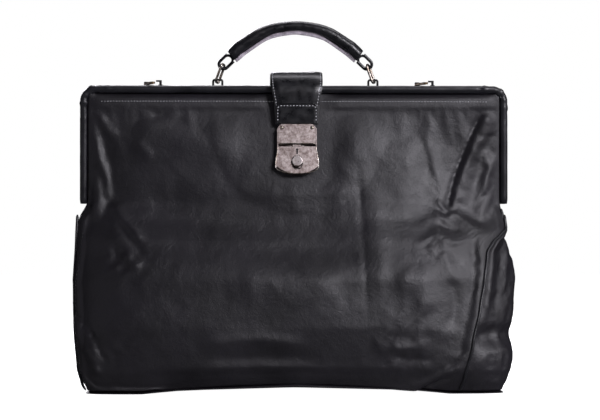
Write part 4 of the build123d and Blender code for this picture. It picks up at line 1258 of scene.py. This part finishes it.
def lock_details():
    """The keyhole's opening as a dark plate of painted shade, and the worn beads round the case and the hasp.
    """
    # the keyhole is not cut as a hole: its opening is a dark plate of painted shade, just proud of the plug's
    # face
    angles = [math.radians(-55 + 290 * k / 14) for k in range(15)]
    bow = [(1.15 * math.cos(a), -0.6 + 1.2 * math.sin(a)) for a in angles]
    foot = [(-0.75, -4.9), (0.75, -4.9)]
    keyhole_shade = plate("keyhole_painted_shade", bow + foot, LOCK_FACE, LOCK_FACE + KEYHOLE_DEPTH)
    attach(keyhole_shade, "key_plug")
    dress(keyhole_shade, "black_metal")
    line = [case_side(-1, k) for k in range(9)]
    for k in range(1, 20):
        a = math.pi * k / 20
        v = CASE_WIDE_AT + (CASE_LOW - CASE_WIDE_AT) * math.sin(a) ** 0.8
        line.append(on_lock(-CASE_WIDE * math.cos(a), v, LOCK_FACE))
    line += [case_side(1, k) for k in range(8, -1, -1)]
    rim = bead("lock_rim_bead", resample(line, RIM_POINTS), 0.34)
    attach(rim, "front_jaw")
    dress(rim, "link_nickel")
    edge = resample([on_lock(u, LIP_V, LOCK_FACE) for u in (-LIP_HALF, LIP_HALF)], 30)
    lip = bead("hasp_lip_bead", edge, 0.38)
    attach(lip, "strap")
    dress(lip, "link_nickel")
    for name, u in (("left", -RIVET_U), ("right", RIVET_U)):
        # a dark bronze disc of painted shadow round the foot of each rivet's dome
        ring = [(u + SHADOW_DISC_R * math.cos(a), RIVET_V + SHADOW_DISC_R * math.sin(a)) for a in around(24)]
        shadow_disc = plate(f"rivet_shadow_{name}", ring, LOCK_FACE - 0.1, LOCK_FACE + 0.06)
        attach(shadow_disc, "strap")
        dress(shadow_disc, "bronze")
        domes = []
        for k in range(7):
            a = math.pi / 2 * k / 6
            reach, rise = max(0.05, DOME_R * math.cos(a)), DOME_RISE * math.sin(a)
            domes.append([
                on_lock(u + reach * math.cos(b), RIVET_V + reach * math.sin(b), LOCK_FACE + 0.35 + rise)
                for b in around(20)
            ])
        dome = tube(f"rivet_dome_{name}", domes)
        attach(dome, "strap")
        dress(dome, "link_nickel")


# ------------------------------------------------------------------ handle
HANDLE_X = 1.5
HANDLE_Y = 7.0
GRIP_ARC_R = 63.0
GRIP_SLOPE = math.radians(34)
GRIP_STRAIGHT = 35.0
GRIP_TOP = 364.2
GRIP_POINTS = 120
LOOP_SLOPE = math.radians(44)
LOOP_X = 69.84                  # middle of a loop from the middle of the handle
LOOP_Z = 328.45
LOOP_R = 4.85
LOOP_LEG = 6.0                  # the loop's straight legs reach this far back from its middle
LOOP_POINTS = 44


def grip_line():
    """Middle line of the grip with its outward directions."""
    arc = GRIP_ARC_R * math.sin(GRIP_SLOPE)
    arc_z = GRIP_TOP - GRIP_ARC_R * (1 - math.cos(GRIP_SLOPE))
    end = Vector((arc + GRIP_STRAIGHT * math.cos(GRIP_SLOPE), 0, arc_z - GRIP_STRAIGHT * math.sin(GRIP_SLOPE)))
    line = [Vector((-end.x, 0, end.z))]
    for k in range(41):
        a = GRIP_SLOPE * (k / 20 - 1)
        line.append(Vector((GRIP_ARC_R * math.sin(a), 0, GRIP_TOP - GRIP_ARC_R * (1 - math.cos(a)))))
    line.append(end)
    line = resample(line, GRIP_POINTS)
    result = []
    for k, p in enumerate(line):
        along = run_at(line, k).normalized()
        out = Vector((-along.z, 0, along.x))
        away = abs(2 * k / (len(line) - 1) - 1)
        lift = 0.3 + 2.9 * smooth(0.1, 0.6, away) * (1 - 0.7 * smooth(0.8, 1.0, away))
        result.append((p + out * lift + Vector((HANDLE_X, HANDLE_Y, 0)), out, along))
    return result


def grip_radius(share):
    """The grip is slimmest in the middle and opens towards its sleeve ends."""
    away = abs(2 * share - 1)
    return 5.3 + 1.3 * away + 0.3 * smooth(0.7, 1.0, away)


def handle_loops():
    """The doubled leather at each end of the grip, round its link."""
    for name, side in (("left", -1), ("right", 1)):
        along = Vector((side * math.cos(LOOP_SLOPE), 0, -math.sin(LOOP_SLOPE)))
        normal = Vector((side * math.sin(LOOP_SLOPE), 0, math.cos(LOOP_SLOPE)))
        middle = Vector((HANDLE_X + side * LOOP_X, HANDLE_Y, LOOP_Z))
        turn = middle + along * 3.0
        line = [middle - along * LOOP_LEG + normal * LOOP_R]
        for k in range(17):
            a = math.pi * k / 16
            line.append(turn + (normal * math.cos(a) + along * math.sin(a)) * LOOP_R)
        line.append(middle - along * LOOP_LEG - normal * LOOP_R)
        line = resample(line, LOOP_POINTS)
        rings = []
        for k, p in enumerate(line):
            out = Vector((0, 1, 0)).cross(run_at(line, k).normalized())
            rings.append([p + out * a + Vector((0, b, 0)) for a, b in section(1.5, 3.5, 3.2, 20)])
        loop = tube(f"loop_leather_{name}", rings)
        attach(loop, "handle")
        dress(loop, "strap_leather")


def handle_pieces():
    """The grip, the loops at its ends, its sewn edge and the edge's stitches."""
    line = grip_line()
    rings = []
    for k, (p, out, _) in enumerate(line):
        share = k / (len(line) - 1)
        end = min(k, len(line) - 1 - k)
        radius = grip_radius(share) * (0.86 + 0.14 * smooth(-1, 3, end))
        ring = []
        for a in around(36):
            c, s = math.cos(a), math.sin(a)
            wrinkle = 0.20 * rough(p.x + c * 5, s * 5, p.z, 5, 2) + 0.12 * rough(p.x, c * 4, s * 4, 2.3, 8)
            pinch = -0.9 * math.exp(-((math.degrees(math.atan2(s, c)) % 360 - 180) / 24) ** 2)
            sideways = Vector((0, 1, 0)) * s * (radius * 1.04 + wrinkle)
            ring.append(p + out * c * (radius + wrinkle + pinch) + sideways)
        rings.append(ring)
    grip = tube("grip_leather", rings)
    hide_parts("handle_grip_cover")
    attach(grip, "handle")
    dress(grip, "strap_leather")
    handle_loops()
    # the two edges of the sleeve, sewn together along the underside
    rings, places = [], []
    for k in range(1, len(line) - 1):
        p, out, along = line[k]
        share = k / (len(line) - 1)
        taper = 0.45 + 0.55 * smooth(0, 12, min(k, len(line) - 1 - k))
        low = grip_radius(share) + 0.9 + 2.2 * taper
        high = grip_radius(share) - 1.6
        ring = []
        for a, b in section((low - high) / 2, 1.25, 3.0, 16):
            wobble = 0.12 * rough(p.x, a, b, 3)
            ring.append(p - out * ((low + high) / 2 - a + wobble) + Vector((0, b * (1 + wobble), 0)))
        rings.append(ring)
        if k % 2 == 0:
            for side in (-1, 1):
                centre = p - out * (low - 1.15) + Vector((0, side * 1.3, 0))
                places.append((centre, along, Vector((0, side, 0))))
    edge = tube("grip_sewn_edge", rings)
    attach(edge, "handle")
    dress(edge, "edge")
    rows = stitches("grip_stitches", places, 1.4, 0.34)
    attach(rows, "handle")


# ------------------------------------------------------------------ lining
LINING_GAP = 3.4                # from the leather's outer face
LINING_THICK = 0.7
# flat sizes of the sheets, in metres
FLAT_WALL = (0.43, 0.31)
FLAT_LEFT = (0.08, 0.17)
FLAT_RIGHT = (0.13, 0.17)
FLAT_BASE = (0.40, 0.115)
FLAT_POCKET = (0.18, 0.08)


def lining(front_rows, rear_rows):
    """The lining of every wall, of the base, and the pocket."""
    front = thicken(grid("front_lining_cloth", drawn_in(front_rows, -1, LINING_GAP)), LINING_THICK)
    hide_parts("front_lining_lower", "front_lining_upper")
    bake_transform(front)
    rear = thicken(grid("rear_lining_cloth", drawn_in(rear_rows, 1, LINING_GAP)), LINING_THICK)
    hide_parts("rear_lining")
    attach(rear, "root")
    pieces = [(front, FLAT_WALL), (rear, FLAT_WALL)]
    for name, side, flat in (("left", -1, FLAT_LEFT), ("right", 1, FLAT_RIGHT)):
        rows = gusset_rows(side, 48, 60, LINING_GAP, 176.0)[4:]
        side_lining = thicken(grid(f"gusset_lining_cloth_{name}", rows, flip=side < 0), LINING_THICK)
        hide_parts(f"gusset_lining_{name}")
        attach(side_lining, "root")
        pieces.append((side_lining, flat))
    _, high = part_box("base_lining")
    rows = []
    for r in range(24):
        share = r / 23
        row = []
        for c in range(90):
            x, y = body_point(BASE_Z, 180 - 180 * c / 89)
            x *= 0.955
            edge = 0.86 * abs(y)
            wave = 0.25 * rough(x, edge * share, 0, 30)
            z = base_z(x) + high.z / MM - BASE_ARCH_RISE - 0.4 + wave
            row.append(Vector((x, -edge + 2 * edge * share, z)))
        rows.append(row)
    floor_cloth = thicken(grid("base_lining_cloth", rows), 0.5)
    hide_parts("base_lining")
    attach(floor_cloth, "root")
    pieces.append((floor_cloth, FLAT_BASE))
    pieces.append((pocket_cloth(), FLAT_POCKET))
    for piece, flat in pieces:
        dress(piece, "lining_cloth")


POCKET_Z = 225
POCKET_HALF, POCKET_RISE = 85, 30   # half its width and half its height
POCKET_CORNER = 8


def pocket_cloth():
    """The inside pocket, a little slack, with a hem along its open top."""
    rows = []
    for r in range(31):
        share = r / 30
        row = []
        for c in range(61):
            across = 2 * c / 60 - 1
            v = -POCKET_RISE + 2 * POCKET_RISE * share
            u = across * (POCKET_HALF - rounded_off(POCKET_CORNER, v + POCKET_RISE))
            slack = 2.2 * smooth(0, 0.25, 1 - abs(across)) * smooth(0, 0.3, share)
            hem = 0.6 * smooth(0.86, 0.89, share)
            z = POCKET_Z + v * LEAN_COS
            y = panel_y(z) - 7.6 - slack - hem + 0.25 * rough(u, 0, v, 9)
            row.append(Vector((u, y, z)))
        rows.append(row)
    piece = thicken(grid("inner_pocket_cloth", rows), 0.8, 0.0)
    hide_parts("inner_pocket")
    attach(piece, "root")
    return piece


# ------------------------------------------------------------------ make the bag
front_rows = front_leather()
rear_rows = rear_leather()
gussets()
gusset_fans()
seam_piping()
base_leather()
jaw_rolls()
wall_stitches(front_rows, rear_rows)
strap = strap_line()
strap_piece(strap)
patch_piece(strap)
lock_details()
handle_pieces()
lining(front_rows, rear_rows)


# ------------------------------------------------------------------ stage, lights and camera
FLOOR_HALF = 6.0
# each lamp: name, place, target, size, power
LAMPS = (
    ("key", (1.15, -1.75, 1.25), (0.10, 0, 0.22), (0.8, 0.6), 42),
    ("fill", (-1.8, -1.0, 0.6), (0, 0, 0.18), (0.4, 1.2), 1.2),
    ("side", (1.9, -0.7, 0.7), (0.2, 0, 0.12), (0.5, 0.9), 7),
    ("top", (0.1, 0.35, 1.5), (0, 0, 0.25), (1.4, 0.5), 9),
    ("behind", (-0.5, 1.8, 0.9), (0, 0, 0.2), (1.2, 0.8), 30),
)
LAMP_COLOUR = (0.955, 0.93, 1.0)
WORLD_ON_BAG = 0.035            # strength of the white surroundings on the bag; the camera sees them at 1


def stage():
    """A bright floor, and surroundings that are white to the camera and faint to the bag."""
    ends = (-FLOOR_HALF, FLOOR_HALF)
    floor = grid("floor", [[Vector((x / MM, y / MM, 0)) for x in ends] for y in ends])
    s = Surface("floor", (0.9, 0.9, 0.9), 0.9)
    s.colour(s.ramp(s.noise(6, 3), [(0.3, (0.86, 0.86, 0.86)), (0.7, (0.9, 0.9, 0.9))]))
    s.shader.inputs["Emission Color"].default_value = (1, 1, 1, 1)
    s.shader.inputs["Emission Strength"].default_value = 1.0
    floor.data.materials.append(s.material)
    floor.visible_glossy = False
    world = bpy.data.worlds.new("studio")
    bpy.context.scene.world = world
    world.use_nodes = True
    nodes, links = world.node_tree.nodes, world.node_tree.links
    background = nodes["Background"]
    background.inputs["Color"].default_value = (1, 1, 1, 1)
    path = nodes.new("ShaderNodeLightPath")
    strength = nodes.new("ShaderNodeMapRange")
    strength.inputs["To Min"].default_value = WORLD_ON_BAG
    strength.inputs["To Max"].default_value = 1.0
    links.new(path.outputs["Is Camera Ray"], strength.inputs["Value"])
    links.new(strength.outputs["Result"], background.inputs["Strength"])


def lamp(name, place, target, size, power):
    """A rectangular area lamp turned towards its target."""
    data = bpy.data.lights.new(name, "AREA")
    data.shape = "RECTANGLE"
    data.size, data.size_y = size
    data.energy = power
    data.color = LAMP_COLOUR
    made = bpy.data.objects.new(name, data)
    bpy.context.scene.collection.objects.link(made)
    made.location = place
    made.rotation_euler = (Vector(target) - Vector(place)).to_track_quat("-Z", "Y").to_euler()


stage()
for row in LAMPS:
    lamp(*row)

CAMERA_TURN = math.radians(1.9)
CAMERA_RISE = math.radians(-0.6)
CAMERA_AWAY = 2.2
CAMERA_AIM = Vector((0.0059, 0, 0.1798))
camera_data = bpy.data.cameras.new("camera")
camera_data.lens = 131.8
camera_data.sensor_width = 36
camera = bpy.data.objects.new("camera", camera_data)
bpy.context.scene.collection.objects.link(camera)
ahead = Vector((
    math.sin(CAMERA_TURN) * math.cos(CAMERA_RISE),
    math.cos(CAMERA_TURN) * math.cos(CAMERA_RISE),
    -math.sin(CAMERA_RISE),
))
camera.location = CAMERA_AIM - ahead * CAMERA_AWAY
camera.rotation_euler = ahead.to_track_quat("-Z", "Y").to_euler()
bpy.context.scene.camera = camera
bpy.context.scene.view_settings.view_transform = "Standard"
